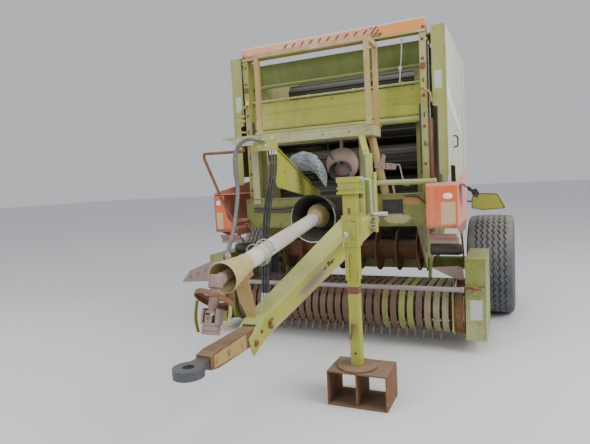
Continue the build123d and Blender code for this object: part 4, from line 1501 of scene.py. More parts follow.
@dataclass
class Deck(Assembly):
    """Lips, studs, struts, hanger plate and side bars of the platform, in millimetres."""

    top: float = 1575.0
    bottom: float = 1505.0
    front: float = -325.0
    back: float = -75.0
    left: float = -750.0
    right: float = 400.0
    hanger: Outline = (
        (358, 1292), (363, 1326), (404, 1322), (418, 1385), (442, 1371), (432, 1320), (466, 1317),
        (516, 1306), (506, 1269), (439, 1275),
    )
    holes: Outline = ((410, 1297), (439, 1307), (474, 1299), (443, 1288), (482, 1281))
    hook: Route = ((497, -117, 1300), (535, -117, 1303), (562, -117, 1159), (600, -117, 1158))
    side_bar: Route = (
        (-578, -300, 1506), (-578, -300, 1468), (-939, -300, 1474), (-942, -300, 1443), (-802, -300, 1112),
        (-700, -300, 925), (-700, -75, 925),
    )

    def build(self) -> None:
        """Builds the platform's pieces."""
        trim = Shape()
        trim.block((self.left + 2, self.front - 2, self.top - 14), (self.right + 2, self.front, self.top))
        trim.block((self.right, self.front - 2, self.bottom), (self.right + 2, self.back, self.top))
        for x in (-560, -330, -250, 60, 250, 375):
            trim.bolt((x, self.front - 1, self.top - 34), (0, -1, 0), 7)
        self.fit(trim, "deck_trim", Coat.DECK, Slot.GREEN)
        caps = Shape()
        for x, y in ((-429, -309), (384, -309), (384, -95)):
            caps.block((x - 26, y - 26, self.top - 1), (x + 26, y + 26, self.top + 8))
        self.fit(caps, "rail_feet", Coat.OCHRE, Slot.OCHRE)
        self.struts()
        self.bars()

    def struts(self) -> None:
        """Flat strut, ochre tube, pale tube with lugs, and the perforated hanger plate with its hook."""
        flat = Shape().carried(
            np.array([(-20, -4), (20, -4), (20, 4), (-20, 4)]),
            np.array([(330, -316, 1507), (352, -362, 1468), (384, -430, 1410), (405, -471, 1370)]),
        )
        flat.bolt((392, -452, 1392), (-0.3, -1, 0.5), 8)
        self.fit(flat, "flat_strut", Coat.BRIGHT, Slot.GREEN)
        tube = Shape().tube([(350.8, -133, 1506), (413.1, -42.2, 1099)], 28, sides=28)
        self.fit(tube, "deck_tube", Coat.OCHRE, Slot.OCHRE, bevel=0.0)
        pale = Shape().tube([(355, -112, 1184), (778, -112, 1177)], 19, sides=24)
        for x in (480, 690):
            pale.prism(
                Along.X, x - 4, x + 4, [(-70, 1100), (-40, 1100), (-95, 1190), (-112, 1192), (-112, 1168)]
            )
        for x in (362, 560, 770):
            pale.turned(
                (x, -112, 1184 - (x - 355) * 0.0165), (1, 0, 0), [(-5, 20), (-4, 22.5), (4, 22.5), (5, 20)],
                sides=24,
            )
        self.fit(pale, "pale_tube", Coat.PALE, Slot.GREEN, bevel=0.0)
        plate = Shape().prism(Along.Y, -121, -113, self.hanger).tube(self.hook, 5.0, 14.0)
        self.fit(plate, "hanger_plate", Coat.PINK, Slot.RUST)
        # black discs in the hanger plate's holes: painted shade seen through them
        holes = Shape()
        for x, z in self.holes:
            holes.turned((x, -120.5, z), (0, -1, 0), [(0, 5.5), (0.9, 5.0)], sides=14)
        self.fit(holes, "hanger_hole_shade", Coat.BLACK, Slot.DARK, bevel=0.0)

    def bars(self) -> None:
        """Round bars at the platform's right end, down to the head."""
        shape = Shape().tube(self.side_bar, 11.0, 16.0)
        shape.block((-596, -316, 1500), (-560, -284, 1506))
        self.fit(shape, "side_bars", Coat.RUST, Slot.RUST, bevel=0.0)


@dataclass
class HoseBracket(Assembly):
    """Bracket plate with its yellow flange, the bulkhead and the hose fittings, in millimetres."""

    plate: Outline = (
        (-20, 1100), (-20, 1150), (-210, 1200), (-740, 1430), (-860, 1430), (-860, 1340), (-740, 1190),
        (-300, 1120), (-75, 1100),
    )
    flange: Outline = ((-210, 1200), (-740, 1430), (-740, 1436), (-210, 1206))
    hoses: Tuple[float, ...] = (-79, -61, -43)

    def build(self) -> None:
        """Builds the plate, the flange and the fittings."""
        shape = Shape().prism(Along.X, -104, -96, self.plate).prism(Along.X, -118, -82, self.flange)
        shape.block((-210, -866, 1415), (-28, -858, 1503))
        shape.prism(Along.X, -104, -96, [(-858, 1340), (-858, 1503), (-790, 1430)])
        for y, z in ((-250, 1150), (-420, 1180), (-640, 1290)):
            shape.bolt((-96, y, z), (1, 0, 0), 8).bolt((-104, y, z), (-1, 0, 0), 8)
        self.fit(shape, "bracket_plate", Coat.BRIGHT, Slot.GREEN, stands_for=["hose_bracket"], bevel=1.5)
        fittings = Shape()
        for x in self.hoses:
            fittings.turned(
                (x, -862, 1416), (0, 0, -1), [(0, 8), (9, 8), (10, 7), (16, 7), (17, 8), (27, 8)], sides=6
            )
        fittings.turned((-195, -866, 1473), (0, -1, -0.9), [(-4, 17), (3, 17), (4, 14), (15, 14)], sides=6)
        for x, z in ((-160, 1480), (-120, 1480), (-60, 1485), (-100, 1445), (-150, 1440)):
            fittings.bolt((x, -866, z), (0, -1, 0), 8)
        self.fit(fittings, "hose_fittings", Coat.ZINC, Slot.DARK, bevel=0.5)


@dataclass
class Hanging(Assembly):
    """Round cover with its peg, and the sack, in millimetres."""

    drum: Point = (130.0, -160.0, 1330.0)
    drum_radius: float = 118.0
    sack_y: float = -400.0
    sack_z: float = 1358.0
    # x, half depth, half height and drop of the sack's stations
    sack_rows: Tuple[Tuple[float, float, float, float], ...] = (
        (-176, 3, 3, 0),
        (-165, 22, 20, 0),
        (-140, 46, 48, 0),
        (-95, 60, 62, 0),
        (-50, 62, 66, 0),
        (0, 56, 62, 8),
        (40, 48, 60, 40),
        (70, 44, 66, 84),
        (92, 40, 60, 128),
        (100, 6, 8, 150),
    )

    def build(self) -> None:
        """Builds the cover, the peg and the sack."""
        x, y, z = self.drum
        r = self.drum_radius
        dome = [(-34, 3), (-33, 30), (-26, 62), (-12, 92), (0, 108), (8, r), (34, r), (40, r - 4), (40, 3)]
        shape = Shape().turned((x, y, z), (0, 1, 0), dome, sides=64)
        shape.block((x - 8, y + 6, z + r - 14), (x + 8, y + 40, 1506))
        self.fit(shape, "round_cover", Coat.PINK, Slot.RUST, bevel=0.0)
        peg = Shape().tube([(148, -150, 1335), (148, -272, 1335)], 8.0).turned(
            (148, -272, 1335), (0, -1, 0), [(0, 13), (5, 13), (6, 11)], sides=18
        )
        self.fit(peg, "cable_peg", Coat.DARK, Slot.DARK, bevel=0.0)
        self.sack()

    def sack(self) -> None:
        """Sack lying over the bracket's flange.

        Its surface is an ellipse whose half depth, half height and drop follow its stations,
        smoothed over 7 of 90 steps, with long folds: sines of the angle and the step. The tail
        droops on the left.
        """
        rows = np.array(self.sack_rows, float)
        t = np.linspace(0, len(rows) - 1, 90)
        x, a, b, d = (np.interp(t, np.arange(len(rows)), values) for values in rows.T)
        smooth = np.ones(7) / 7
        x, a, b, d = (np.convolve(np.pad(v, 3, mode="edge"), smooth, mode="valid") for v in (x, a, b, d))
        angle = np.linspace(0, 2 * np.pi, 72, endpoint=False)
        wide = 5 * angle[None, :] + t[:, None] * 1.1
        tight = 9 * angle[None, :] - t[:, None] * 2.3
        fold = 1 + 0.045 * np.sin(wide) + 0.03 * np.sin(tight)
        depth = a[:, None] * np.cos(angle)[None, :] * fold
        height = b[:, None] * np.sin(angle)[None, :] * fold
        grid = columns(
            x[:, None] + 5 * np.sin(3 * angle)[None, :] * (a[:, None] / 60),
            self.sack_y + depth,
            np.maximum(self.sack_z - d[:, None] + height, 1010.0),
        )
        sack = self.fit(Shape().net(grid), "sack", Coat.SACK, Slot.WHITE, bevel=0.0, smooth=60.0)
        lacing = Shape()
        steps = np.arange(12)
        zigzag = columns(52 + steps * 3.2, self.sack_y - 52 - 6 * (steps % 2), 1392 - steps * 15.0)
        zigzag[:, 0] += np.where(steps % 2 == 0, -11, 11)
        lacing.carried(ring(8) * 2.6, zigzag)
        dark = Shape()
        for shift in (-18, 14):
            seam = np.linspace(0, 1, 24)
            path = columns(
                -120 + seam * 150 + shift * 0.2, self.sack_y - 58 - 5 * np.sin(seam * np.pi),
                1400 - seam * 34 + shift,
            )
            dark.carried(ring(6) * 1.3, path)
        self.fit(lacing, "sack_lacing", Coat.LACE, Slot.WHITE, bevel=0.0)
        self.fit(dark, "sack_seams", Coat.BLACK, Slot.BLACK, bevel=0.0)


@dataclass
class Cords(Assembly):
    """Hydraulic hoses, cable loops, twine on the shaft and the cord at the post, in millimetres."""

    main: Route = (
        (-122, -880, 1470),
        (-192, -926, 1506),
        (-256, -982, 1424),
        (-243, -1012, 1290),
        (-222, -1020, 1188),
        (-201, -1100, 1047),
        (-167, -1200, 943),
        (-124, -1330, 879),
        (-84, -1396, 862),
    )
    smoothness: int = 10
    turns: int = 5
    steps: int = 81
    peg: Point = (148.0, -186.0, 1348.0)
    drops: Route = (
        (0, -862, 1388.6),
        (-1, -863, 1290),
        (-26, -880, 1175),
        (-47, -892, 1050),
        (-60, -899, 920),
        (-69, -903, 790),
        (-76, -904, 660),
        (-86, -902, 540),
    )

    def curve(self, name: str, points: Any, diameter: float, coat: Coat, slot: Slot) -> bpy.types.Object:
        """Makes a smooth NURBS curve of order 3 with a round section.

        Args:
            name: the piece's name.
            points: its control points in millimetres.
            diameter: in millimetres.
            coat: its finish.
            slot: the record's slot; not used.

        Returns:
            The curve, riding on the chassis.
        """
        data = bpy.data.curves.new(name, "CURVE")
        data.dimensions = "3D"
        data.resolution_u = self.smoothness
        data.bevel_depth = diameter * MM / 2
        data.bevel_resolution = 3
        data.use_fill_caps = True
        spline = data.splines.new("NURBS")
        places = np.asarray(points, float) * MM
        spline.points.add(len(places) - 1)
        spline.points.foreach_set("co", np.concatenate([places, np.ones((len(places), 1))], axis=1).ravel())
        spline.order_u = 3
        spline.use_endpoint_u = True
        data.materials.append(self.shop.get(coat))
        piece = bpy.data.objects.new(name, data)
        bpy.context.scene.collection.objects.link(piece)
        return self.mount(piece, slot)

    def build(self) -> None:
        """Builds every cord."""
        main = self.curve("hose_main", self.main, 24.0, Coat.GREY_HOSE, Slot.BLACK)
        coupler = Shape().turned(
            (-84, -1396, 862), (0.5, -0.82, -0.2),
            [(-6, 14), (14, 14), (16, 17), (30, 17), (32, 11), (44, 11)], sides=24,
        )
        tip = self.fit(coupler, "main_coupler", Coat.ZINC, Slot.DARK, bevel=0.5)
        for label, x in (("right", -79), ("middle", -61), ("left", -43)):
            points = np.array(self.drops) + np.array([x, 0, 0])
            hose = self.curve(f"hose_{label}", points, 14.0, Coat.HOSE, Slot.BLACK)
            end = Shape().turned(
                points[-1],
                (-0.08, 0.02, -1),
                [(-12, 8.5), (16, 8.5), (18, 11), (40, 11), (42, 7.5), (58, 7.5)],
                sides=20,
            )
            tip = self.fit(end, f"hose_coupler_{label}", Coat.ZINC, Slot.DARK, bevel=0.5)
        self.coil()
        self.twine()
        self.post_cord()

    def coil(self) -> None:
        """Cable hung over the peg in five loose loops: circles of growing radius stepping along y."""
        t = np.linspace(0, self.turns * 2 * np.pi, self.steps)
        radius = 54 + 4.0 * t / (2 * np.pi)
        x, y, z = self.peg
        loops = columns(
            x + radius * np.sin(t) * 1.12, y - 12.5 * t / (2 * np.pi), z - radius * (1 - np.cos(t)) * 0.95
        )
        lead = [(40, -184, 1500), (42, -184, 1430), (62, -184, 1380), (104, -185, 1354)]
        points = np.concatenate([lead, loops, [(196, -252, 1334), (222, -254, 1296), (224, -254, 1256)]])
        cable = self.curve("cable_loops", points, 9.0, Coat.BLACK, Slot.BLACK)
        plug = Shape().turned(
            points[-1], (0, 0, -1), [(-12, 8), (-6, 14), (20, 15), (22, 20), (42, 20), (45, 16)], sides=22
        )
        tip = self.fit(plug, "cable_plug", Coat.BLUE, Slot.BLACK, bevel=0.0)

    def twine(self) -> None:
        """Twine wound loosely round the guard tube: rings about the shaft's axis that fan out along it."""
        axis = unit(np.subtract(SHAFT[1], SHAFT[0]))
        u, v = across(axis)
        t = np.linspace(0, self.turns * 2 * np.pi, self.steps)
        sag = 56 + 10 * np.sin(t * 0.37) + 3 * np.sin(t * 1.9)
        along = 150 + 120 * t / t[-1] + 22 * np.sin(t * 0.9)
        rings = np.cos(t)[:, None] * u + np.sin(t)[:, None] * v
        points = SHAFT[0] + along[:, None] * axis + sag[:, None] * rings
        twine = self.curve("twine_loops", points, 7.0, Coat.TWINE, Slot.WHITE)
        knot = Shape().turned(
            points[-1], (1, 0.4, 0.3), [(-14, 3), (-9, 8), (0, 10), (8, 8), (14, 3)], sides=14
        )
        tie = self.fit(knot, "twine_knot", Coat.TWINE, Slot.WHITE, bevel=0.0)

    def post_cord(self) -> None:
        """White cord with its knot beside the left post, down to a brass bit."""
        points = [
            (545, 60, 2190), (543, 52, 2150), (541, 52, 2100), (537, 50, 2050), (531, 50, 2000),
            (528, 46, 1960), (526, 44, 1925), (524, 44, 1893),
        ]
        cord = self.curve("post_cord", points, 9.0, Coat.CORD, Slot.WHITE)
        knot = Shape().turned(
            (529, 47, 1985), (0, 0, -1), [(-17, 5), (-12, 12), (-3, 15), (6, 13), (14, 8), (20, 5)], sides=18
        )
        knob = self.fit(knot, "cord_knot", Coat.CORD, Slot.WHITE, bevel=0.0)
        brass = Shape().turned((524, 44, 1893), (0, 0, -1), [(-12, 6), (-8, 9), (14, 9), (18, 5)], sides=16)
        bit = self.fit(brass, "cord_end", Coat.BRASS, Slot.OCHRE, bevel=0.0)


# ---------------------------------------------------------------- body


@dataclass
class Front(Assembly):
    """Trim of the top beam, posts, hood, apron and head beam, in millimetres."""

    # each roller's place round the chamber in degrees, and its ribs
    turns: Tuple[float, ...] = (102, 122, 142, 162, 182, 202, 238, 258)
    chamber: float = 715.0
    ribs: int = 9
    rib_share: float = 0.22
    rib_radius: float = 104.0
    roller_radius: float = 96.0
    post_x: Tuple[float, float] = (673.0, 716.0)
    post_y: float = -5.0
    head_y: float = -75.0

    def build(self) -> None:
        """Builds the trim."""
        self.rollers()
        self.top()
        self.posts()
        self.head()

    def rollers(self) -> None:
        """Chamber rollers with lengthwise ribs: the radius steps out over a ninth of each turn."""
        angle = np.linspace(0, 2 * np.pi, 108, endpoint=False)
        step = (angle * self.ribs / (2 * np.pi)) % 1.0
        radius = np.where(step < self.rib_share, self.rib_radius, self.roller_radius)
        shape = Shape()
        for middle in arc(CHAMBER, self.chamber, np.radians(self.turns)):
            shape.prism(Along.X, -607, 607, arc(middle, radius, angle))
        self.fit(shape, "ribbed_rollers", Coat.DARK, Slot.DARK, stands_for=["front_rollers"], bevel=0.0)

    def top(self) -> None:
        """Lower lip and hood bar, both with a worn pale edge, and the beam's bolts."""
        lip = Shape().block((-720, -14, 2198), (720, -8, 2211)).block((-665, 118, 2006), (665, 134, 2016))
        self.fit(lip, "beam_lip", Coat.PALE, Slot.GREEN)
        # dark brown strips under the beam's face: painted shadow of the line under its bent lower edge
        strip = Shape()
        for low, high in ((-640, -210), (-190, 60), (85, 300), (330, 640)):
            strip.block((low, -11, 2213), (high, -8, 2221))
        self.fit(strip, "beam_shadow_strip", Coat.BOARD, Slot.ORANGE, bevel=0.5)
        bolts = Shape()
        for x in (-700, 700, -410, 410):
            bolts.bolt((x, -8, 2230), (0, -1, 0), 7)
        self.fit(bolts, "beam_bolts", Coat.RUST, Slot.RUST, bevel=0.5)
        tube = Shape()
        for x in (-620, -310, 0, 310, 620):
            tube.turned((x, 48, 1622), (1, 0, 0), [(-7, 24), (-6, 27), (6, 27), (7, 24)], sides=28)
        for x in (-540, -180, 180, 540):
            tube.turned((x, 45, 1876), (1, 0, 0), [(-10, 9), (-9, 13), (9, 13), (10, 9)], sides=18)
        self.fit(tube, "tube_collars", Coat.PALE, Slot.GREEN, bevel=0.0)
        rib = Shape().block((-668, 32, 1786), (668, 38, 1790)).block((-668, 30, 1648), (668, 36, 1654))
        for x in (-600, -300, 0, 300, 600):
            rib.bolt((x, 60, 1840), (0, -1, 0), 7)
        self.fit(rib, "apron_edge", Coat.BRIGHT, Slot.GREEN)

    def posts(self) -> None:
        """Dark blocks in the slots as painted shade, bolts, latches and hinge straps on both posts."""
        dark, steel = Shape(), Shape()
        low, high = self.post_x
        for side in (-1, 1):
            middle = side * (low + high) / 2
            # dark blocks in the posts' slots: painted shade of the openings
            for z in (1868, 1638, 1438):
                dark.block((middle - 5, self.post_y - 1, z - 18), (middle + 5, self.post_y + 1, z + 18))
            for z in (2150, 2020, 1770, 1560, 1300, 1170):
                steel.bolt((middle, self.post_y, z), (0, -1, 0), 8)
            steel.block((middle - 16, self.post_y - 6, 1950), (middle + 16, self.post_y, 1990))
        dark.block((655, 20, 1230), (668, 26, 1720)).block((-668, 20, 1230), (-655, 26, 1720))
        self.fit(dark, "post_slots", Coat.DARK, Slot.DARK, bevel=0.0)
        self.fit(steel, "post_bolts", Coat.RUST, Slot.RUST, bevel=0.5)
        latch = Shape()
        for side, z in ((1, 1810), (-1, 1840)):
            latch.tube(
                [
                    (side * 700, -8, z + 30), (side * 705, -26, z), (side * 742, -24, z - 30),
                    (side * 746, -8, z - 90),
                ],
                7.0,
                14.0,
            )
            latch.block((side * 690 - 14, -12, z + 10), (side * 690 + 14, -5, z + 46))
        for z in (1730, 1768, 1640):
            latch.tube([(-716, -10, z), (-770, -14, z + 6)], 8.0)
        self.fit(latch, "cover_latches", Coat.BRASS, Slot.OCHRE, bevel=0.5)

    def head(self) -> None:
        """Window with its frame, edge strips, bolts and pipes on the head beam; the window is a black panel
        of painted shade.
        """
        y = self.head_y
        # black panel in the window's opening: painted shade of the recess behind it
        window = Shape().block((396, y - 2, 960), (542, y, 1062))
        self.fit(window, "head_window_shade", Coat.BLACK, Slot.BLACK, bevel=0.0)
        trim = Shape()
        # the four strips round the window: x, z of two corners
        for x0, z0, x1, z1 in (
            (388, 952, 396, 1070), (542, 952, 550, 1070), (388, 1062, 550, 1070), (388, 952, 550, 960)
        ):
            trim.block((x0, y - 4, z0), (x1, y, z1))
        trim.block((-716, y - 8, 1092), (716, y, 1100)).block((-716, y - 6, 872), (716, y, 880))
        for x in (-690, -600, -420, -200, 200, 600, 690):
            trim.bolt((x, y - 1, 1074), (0, -1, 0), 8).bolt((x, y - 1, 898), (0, -1, 0), 8)
        self.fit(trim, "head_trim", Coat.HEAD, Slot.GREEN)
        pipe = Shape().tube(
            [(-640, y - 14, 1030), (-420, y - 16, 1020), (-200, y - 20, 1040), (-130, y - 40, 1085)],
            7.0,
            30.0,
        )
        pipe.tube(
            [(-640, y - 14, 1005), (-380, y - 18, 998), (-220, y - 20, 1010), (-150, y - 36, 1060)], 7.0, 30.0
        )
        pipe.tube([(560, y - 12, 1085), (640, y - 14, 1080), (700, y - 14, 1030)], 6.0, 20.0)
        self.fit(pipe, "head_pipes", Coat.DARK, Slot.DARK, bevel=0.0)


@dataclass
class Covers(Assembly):
    """Seams, rivets, stripes, labels and handles of the side covers, in millimetres."""

    x: float = 843.0
    front: float = 25.0
    stripe: Outline = ((34, 1850), (60, 1862), (1048, 1572), (1048, 1548), (200, 1690), (34, 1776))

    def build(self) -> None:
        """Builds both covers' trim."""
        for side, label in ((1, "left"), (-1, "right")):
            body = f"cover_{label}"
            face = side * self.x
            seams = Shape()
            for y, low in ((300, 1292), (700, 1106), (1080, 1106)):
                outline = [(y - 9, low), (y + 9, low), (y + 9, 2232), (y - 9, 2232)]
                seams.slab(side, self.x, self.x + 3, outline)
            for y in (60, 190, 430, 560, 840, 960):
                for z in (1330, 1600, 1900, 2200):
                    seams.turned((face, y, z), (side, 0, 0), [(-0.5, 7), (1.5, 6.5), (3, 3)], sides=12)
            self.fit(seams, f"cover_seams_{label}", Coat.COVER, Slot.GREEN, body, bevel=0.8)
            edge = Shape().pad(side, self.x - 6, self.x + 2, (self.front - 3, 1217), (self.front, 2238))
            edge.pad(side, 752.0, 757.0, (self.front - 2, 1700), (self.front, 2236))
            self.fit(edge, f"cover_edge_{label}", Coat.PALE, Slot.GREEN, body)
            stripe = Shape().slab(side, self.x, self.x + 1, self.stripe)
            self.fit(stripe, f"cover_stripe_{label}", Coat.STRIPE, Slot.WHITE, body, bevel=0.0)
            plate = Shape().pad(side, 764.0, 814.0, (self.front - 1, 1812), (self.front + 0.2, 1932))
            self.fit(plate, f"cover_label_{label}", Coat.LABEL, Slot.WHITE, body, bevel=0.0)
            handle = Shape().tube(
                [
                    (side * (self.x + 1), 380, 1420), (side * (self.x + 30), 380, 1428),
                    (side * (self.x + 30), 380, 1500), (side * (self.x + 1), 380, 1508),
                ],
                6.0,
                16.0,
            )
            self.fit(handle, f"cover_handle_{label}", Coat.DARK, Slot.DARK, body, bevel=0.0)


@dataclass
class Guards(Assembly):
    """Right guard, reflectors, labels, flap and what hangs under the guards, in millimetres."""

    front: float = -226.0
    outer: float = 922.0
    side: Outline = ((-226, 875), (-226, 1164), (435, 1262), (435, 905), (300, 812), (-60, 812))
    face: Outline = (
        (-922, 856), (-762, 856), (-762, 912), (-809, 972), (-827, 1038), (-831, 1142), (-922, 1142)
    )

    def build(self) -> None:
        """Builds the guards' pieces."""
        shape = Shape().prism(Along.Y, self.front, self.front + 5, self.face)
        shape.prism(Along.X, -self.outer, 5 - self.outer, self.side)
        shape.block((-917, -45, 900), (-716, -5, 950)).block((-907, -185, 800), (-730, -165, 826))
        shape.block((-738, -221, 826), (-730, -5, 900))
        shape.block((-917, -222, 1150), (-731, 300, 1154))
        self.fit(shape, "guard_plate_right", Coat.RED, Slot.ORANGE, stands_for=["guard_right"])
        rim = Shape().block((731, -222, 1160), (917, 300, 1164))
        rim.block((724, -228, 875), (734, -221, 1164)).block((730, -229, 868), (922, -221, 878))
        for x, z in ((745, 1145), (900, 1145), (745, 895), (900, 895)):
            rim.bolt((x, self.front, z), (0, -1, 0), 6)
        self.fit(rim, "guard_rim", Coat.RED, Slot.ORANGE)
        lens, label = Shape(), Shape()
        for x, z, rx in ((861, 1078, 31), (-884, 1085, 20)):
            lens.net(self.oval(x, z, rx, 20.0))
        for low, high, z0, z1 in ((818, 908, 892, 1040), (-905, -850, 880, 1010)):
            label.block((low, self.front - 1.0, z0), (high, self.front + 0.2, z1))
        self.fit(lens, "reflectors", Coat.LENS, Slot.WHITE, bevel=0.0)
        self.fit(label, "guard_labels", Coat.TAN_LABEL, Slot.YELLOW, bevel=0.0)
        self.flap()
        under = Shape().block((730, -160, 760), (915, -120, 800)).block((-915, -160, 760), (-730, -120, 800))
        self.fit(under, "guard_beams", Coat.PINK, Slot.RUST)
        drum = Shape()
        for end in (-1, 1):
            drum.turned(
                (end * 700, 66, 690),
                (end, 0, 0),
                [(0, 30), (4, 42), (196, 42), (200, 36), (216, 36), (220, 14), (226, 14)],
                sides=36,
            )
        self.fit(drum, "side_cylinders", Coat.DARK, Slot.DARK, bevel=0.8)

    def oval(self, x: float, z: float, rx: float, rz: float) -> Array:
        """Domed oval: three shrinking ellipses standing out of the plate."""
        circle = ring(28) * (rx, rz)
        rows = []
        for scale, out in ((1.0, 0.2), (1.0, -3.0), (0.86, -6.0), (0.4, -7.5)):
            rows.append(columns(x + circle[:, 0] * scale, self.front + out, z + circle[:, 1] * scale))
        return np.stack(rows)

    def flap(self) -> None:
        """Crumpled net behind the left guard: a sheet whose height ripples with both parameters."""
        u, v = np.meshgrid(np.linspace(0, 1, 26), np.linspace(0, 1, 20), indexing="ij")
        ripple = 9 * np.sin(u * 17 + v * 5) + 6 * np.sin(v * 21 - u * 7)
        y = -140 + 230 * v + ripple * 0.6
        grid = columns(
            932 + 118 * u * (1 - 0.25 * v), y, 1150 - 52 * u - 62 * v * u + 0.7 * ripple * (0.3 + u)
        )
        net = Shape().net(grid, around=False, caps=False)
        flap = self.fit(net, "net_flap", Coat.NET, Slot.BLACK, bevel=0.0, smooth=60.0)
        thick = flap.modifiers.new("thickness", "SOLIDIFY")
        thick.thickness = 0.002


@dataclass
class Mudguards(Assembly):
    """Bent mudguard skins on their stays, in millimetres."""

    x: float = 1066.0
    y: float = 1070.0
    z: float = 425.0
    # x outwards and z upwards from the wheel's centre
    face: Outline = ((-123, 515), (-119, 606), (-59, 631), (65, 623), (120, 512), (-47, 501), (-106, 518))
    inner: Outline = ((-119, 515), (-115, 603), (-58, 627), (63, 619), (117, 512))
    stay: Outline = ((690, 960), (690, 994), (750, 994), (1080, 520), (1080, 475), (1030, 475), (1030, 510))

    def build(self) -> None:
        """Builds both mudguards as faces with a rim strip carried round their outline."""
        shape = Shape()
        for side in (1, -1):
            outline = [(side * (self.x + a), self.z + b) for a, b in self.face]
            shape.prism(Along.Y, 625, 629, outline)
            inner = [(side * (self.x + a), self.z + b) for a, b in self.inner]
            shape.prism(Along.Y, 629, 825, outline[: len(inner)] + inner[::-1])
            shape.slab(side, 826.0, 836.0, self.stay)
            shape.pad(side, 826.0, 948.0, (700, 984), (740, 1000))
        self.fit(shape, "mudguard_skins", Coat.BRIGHT, Slot.GREEN, stands_for=["mudguards"])
        edge = Shape()
        for side in (1, -1):
            path = np.array([(side * (self.x + a), 624.5, self.z + b) for a, b in self.face + self.face[:1]])
            edge.tube(path, 3.0, 10.0, 8)
        self.fit(edge, "mudguard_edges", Coat.DARK, Slot.DARK, bevel=0.0)


@dataclass
class Pickup(Assembly):
    """Stripper bands, end sheets, box trim and windguard plates of the pick-up, in millimetres."""

    y: float = 60.0
    z: float = 265.0
    radius: float = 165.0
    thick: float = 3.0
    width: float = 42.0
    pitch: float = 60.0
    count: int = 28
    straws: int = 22
    back: float = 325.0
    # x outwards and z of the flap at each end of the windguard
    flap: Outline = ((708, 574), (896, 587), (927, 576), (933, 495), (894, 491), (816, 525))

    def strip(self, radius: float, thick: float) -> Array:
        """Outline of a strip bent round the reel, open to the back, as (y, z) points."""
        turn = np.linspace(np.pi / 2, 3 * np.pi / 2, 25)
        outer = arc((self.y, self.z), radius, turn)
        inner = arc((self.y, self.z), radius - thick, turn)[::-1]
        back, low, high = self.back, self.z - radius, self.z + radius
        ends = [(back, high)], [(back, low), (back, low + thick)], [(back, high - thick)]
        return np.concatenate([ends[0], outer, ends[1], inner, ends[2]])

    def build(self) -> None:
        """Builds the pick-up's pieces."""
        shape = Shape()
        outline = self.strip(self.radius, self.thick)
        bead = self.strip(self.radius + 2.0, 2.4)
        first = -self.pitch * (self.count - 1) / 2 - self.width / 2
        for start, end, section in ((0.0, self.width, outline), (16.0, 26.0, bead)):
            for k in range(self.count):
                low = first + k * self.pitch
                shape.prism(Along.X, low + start, low + end, section)
        shape.block((-850, self.back, self.z - self.radius), (850, self.back + 6, self.z + self.radius))
        self.fit(shape, "band_set", Coat.BAND, Slot.GREEN, "pickup", ["stripper_bands"], bevel=0.0)
        ends = Shape()
        for side in (-1, 1):
            ends.slab(side, 868.0, 928.0, self.strip(self.radius + 2, 3.0))
            skid = arc((self.y, self.z), 178, np.linspace(np.pi / 2, 3 * np.pi / 2, 17))
            tail = [(300, self.z - 160), (300, self.z + 178)]
            ends.slab(side, 932.0, 938.0, np.concatenate([skid, tail]))
        self.fit(ends, "end_sheets", Coat.RUST, Slot.RUST, "pickup")
        guard = Shape()
        for side in (-1, 1):
            guard.prism(Along.Y, -34, -30, [(side * x, z) for x, z in self.flap])
            guard.turned((side * 940, -180, 455), (side, 0, 0), [(-14, 20), (0, 20), (3, 14)], sides=22)
            guard.slab(side, 880.0, 888.0, [(-168, 447), (-168, 463), (-34, 505), (-26, 505), (-26, 470)])
        self.fit(guard, "guard_flaps", Coat.PINK, Slot.RUST, "pickup")
        self.boxes()

    def boxes(self) -> None:
        """Edges, seams, labels, brackets and straw on the end boxes."""
        trim, label, bracket, straw = Shape(), Shape(), Shape(), Shape()
        for side in (-1, 1):
            a, b = sorted((side * 945.5, side * 1075.0))
            trim.block((a - 2, -114, 216), (b + 2, -110, 222)).block((a - 2, -114, 640), (b + 2, 391, 652))
            trim.block((a - 1, -113, 96), (a + 7, -110, 649)).block((b - 7, -113, 96), (b + 1, -110, 649))
            for z in (130, 250, 430, 610):
                trim.bolt((side * 1062, -111, z), (0, -1, 0), 7)
            label.block((side * 1012 - 38, -111.4, 236), (side * 1012 + 38, -110, 372))
            bracket.tube(
                [
                    (side * 930, -120, 452), (side * 985, -140, 470), (side * 1040, -124, 448),
                    (side * 1060, -112, 470),
                ],
                9.0,
                20.0,
            )
            bracket.block((side * 1000 - 26, -122, 440), (side * 1000 + 26, -112, 466))
            for k in range(self.straws):
                lean = 0.45 * math.sin(k * 2.3)
                base = np.array(
                    [side * (975 + 4.4 * k), -124 - 5 * math.sin(k * 1.7), 452 + 10 * math.sin(k * 0.9)]
                )
                tip = base + np.array([38 * math.sin(k * 1.3), -16 - 10 * math.cos(k), 26 * lean - 14])
                straw.tube([base, (base + tip) / 2 + np.array([0, 0, 6.0]), tip], 1.1, 0.0, 5)
        self.fit(trim, "box_trim", Coat.GREEN, Slot.GREEN, "pickup")
        self.fit(label, "box_labels", Coat.LABEL, Slot.WHITE, "pickup", bevel=0.0)
        self.fit(bracket, "box_brackets", Coat.RUST, Slot.RUST, "pickup")
        self.fit(straw, "straw_bits", Coat.STRAW, Slot.OCHRE, "pickup", bevel=0.0)


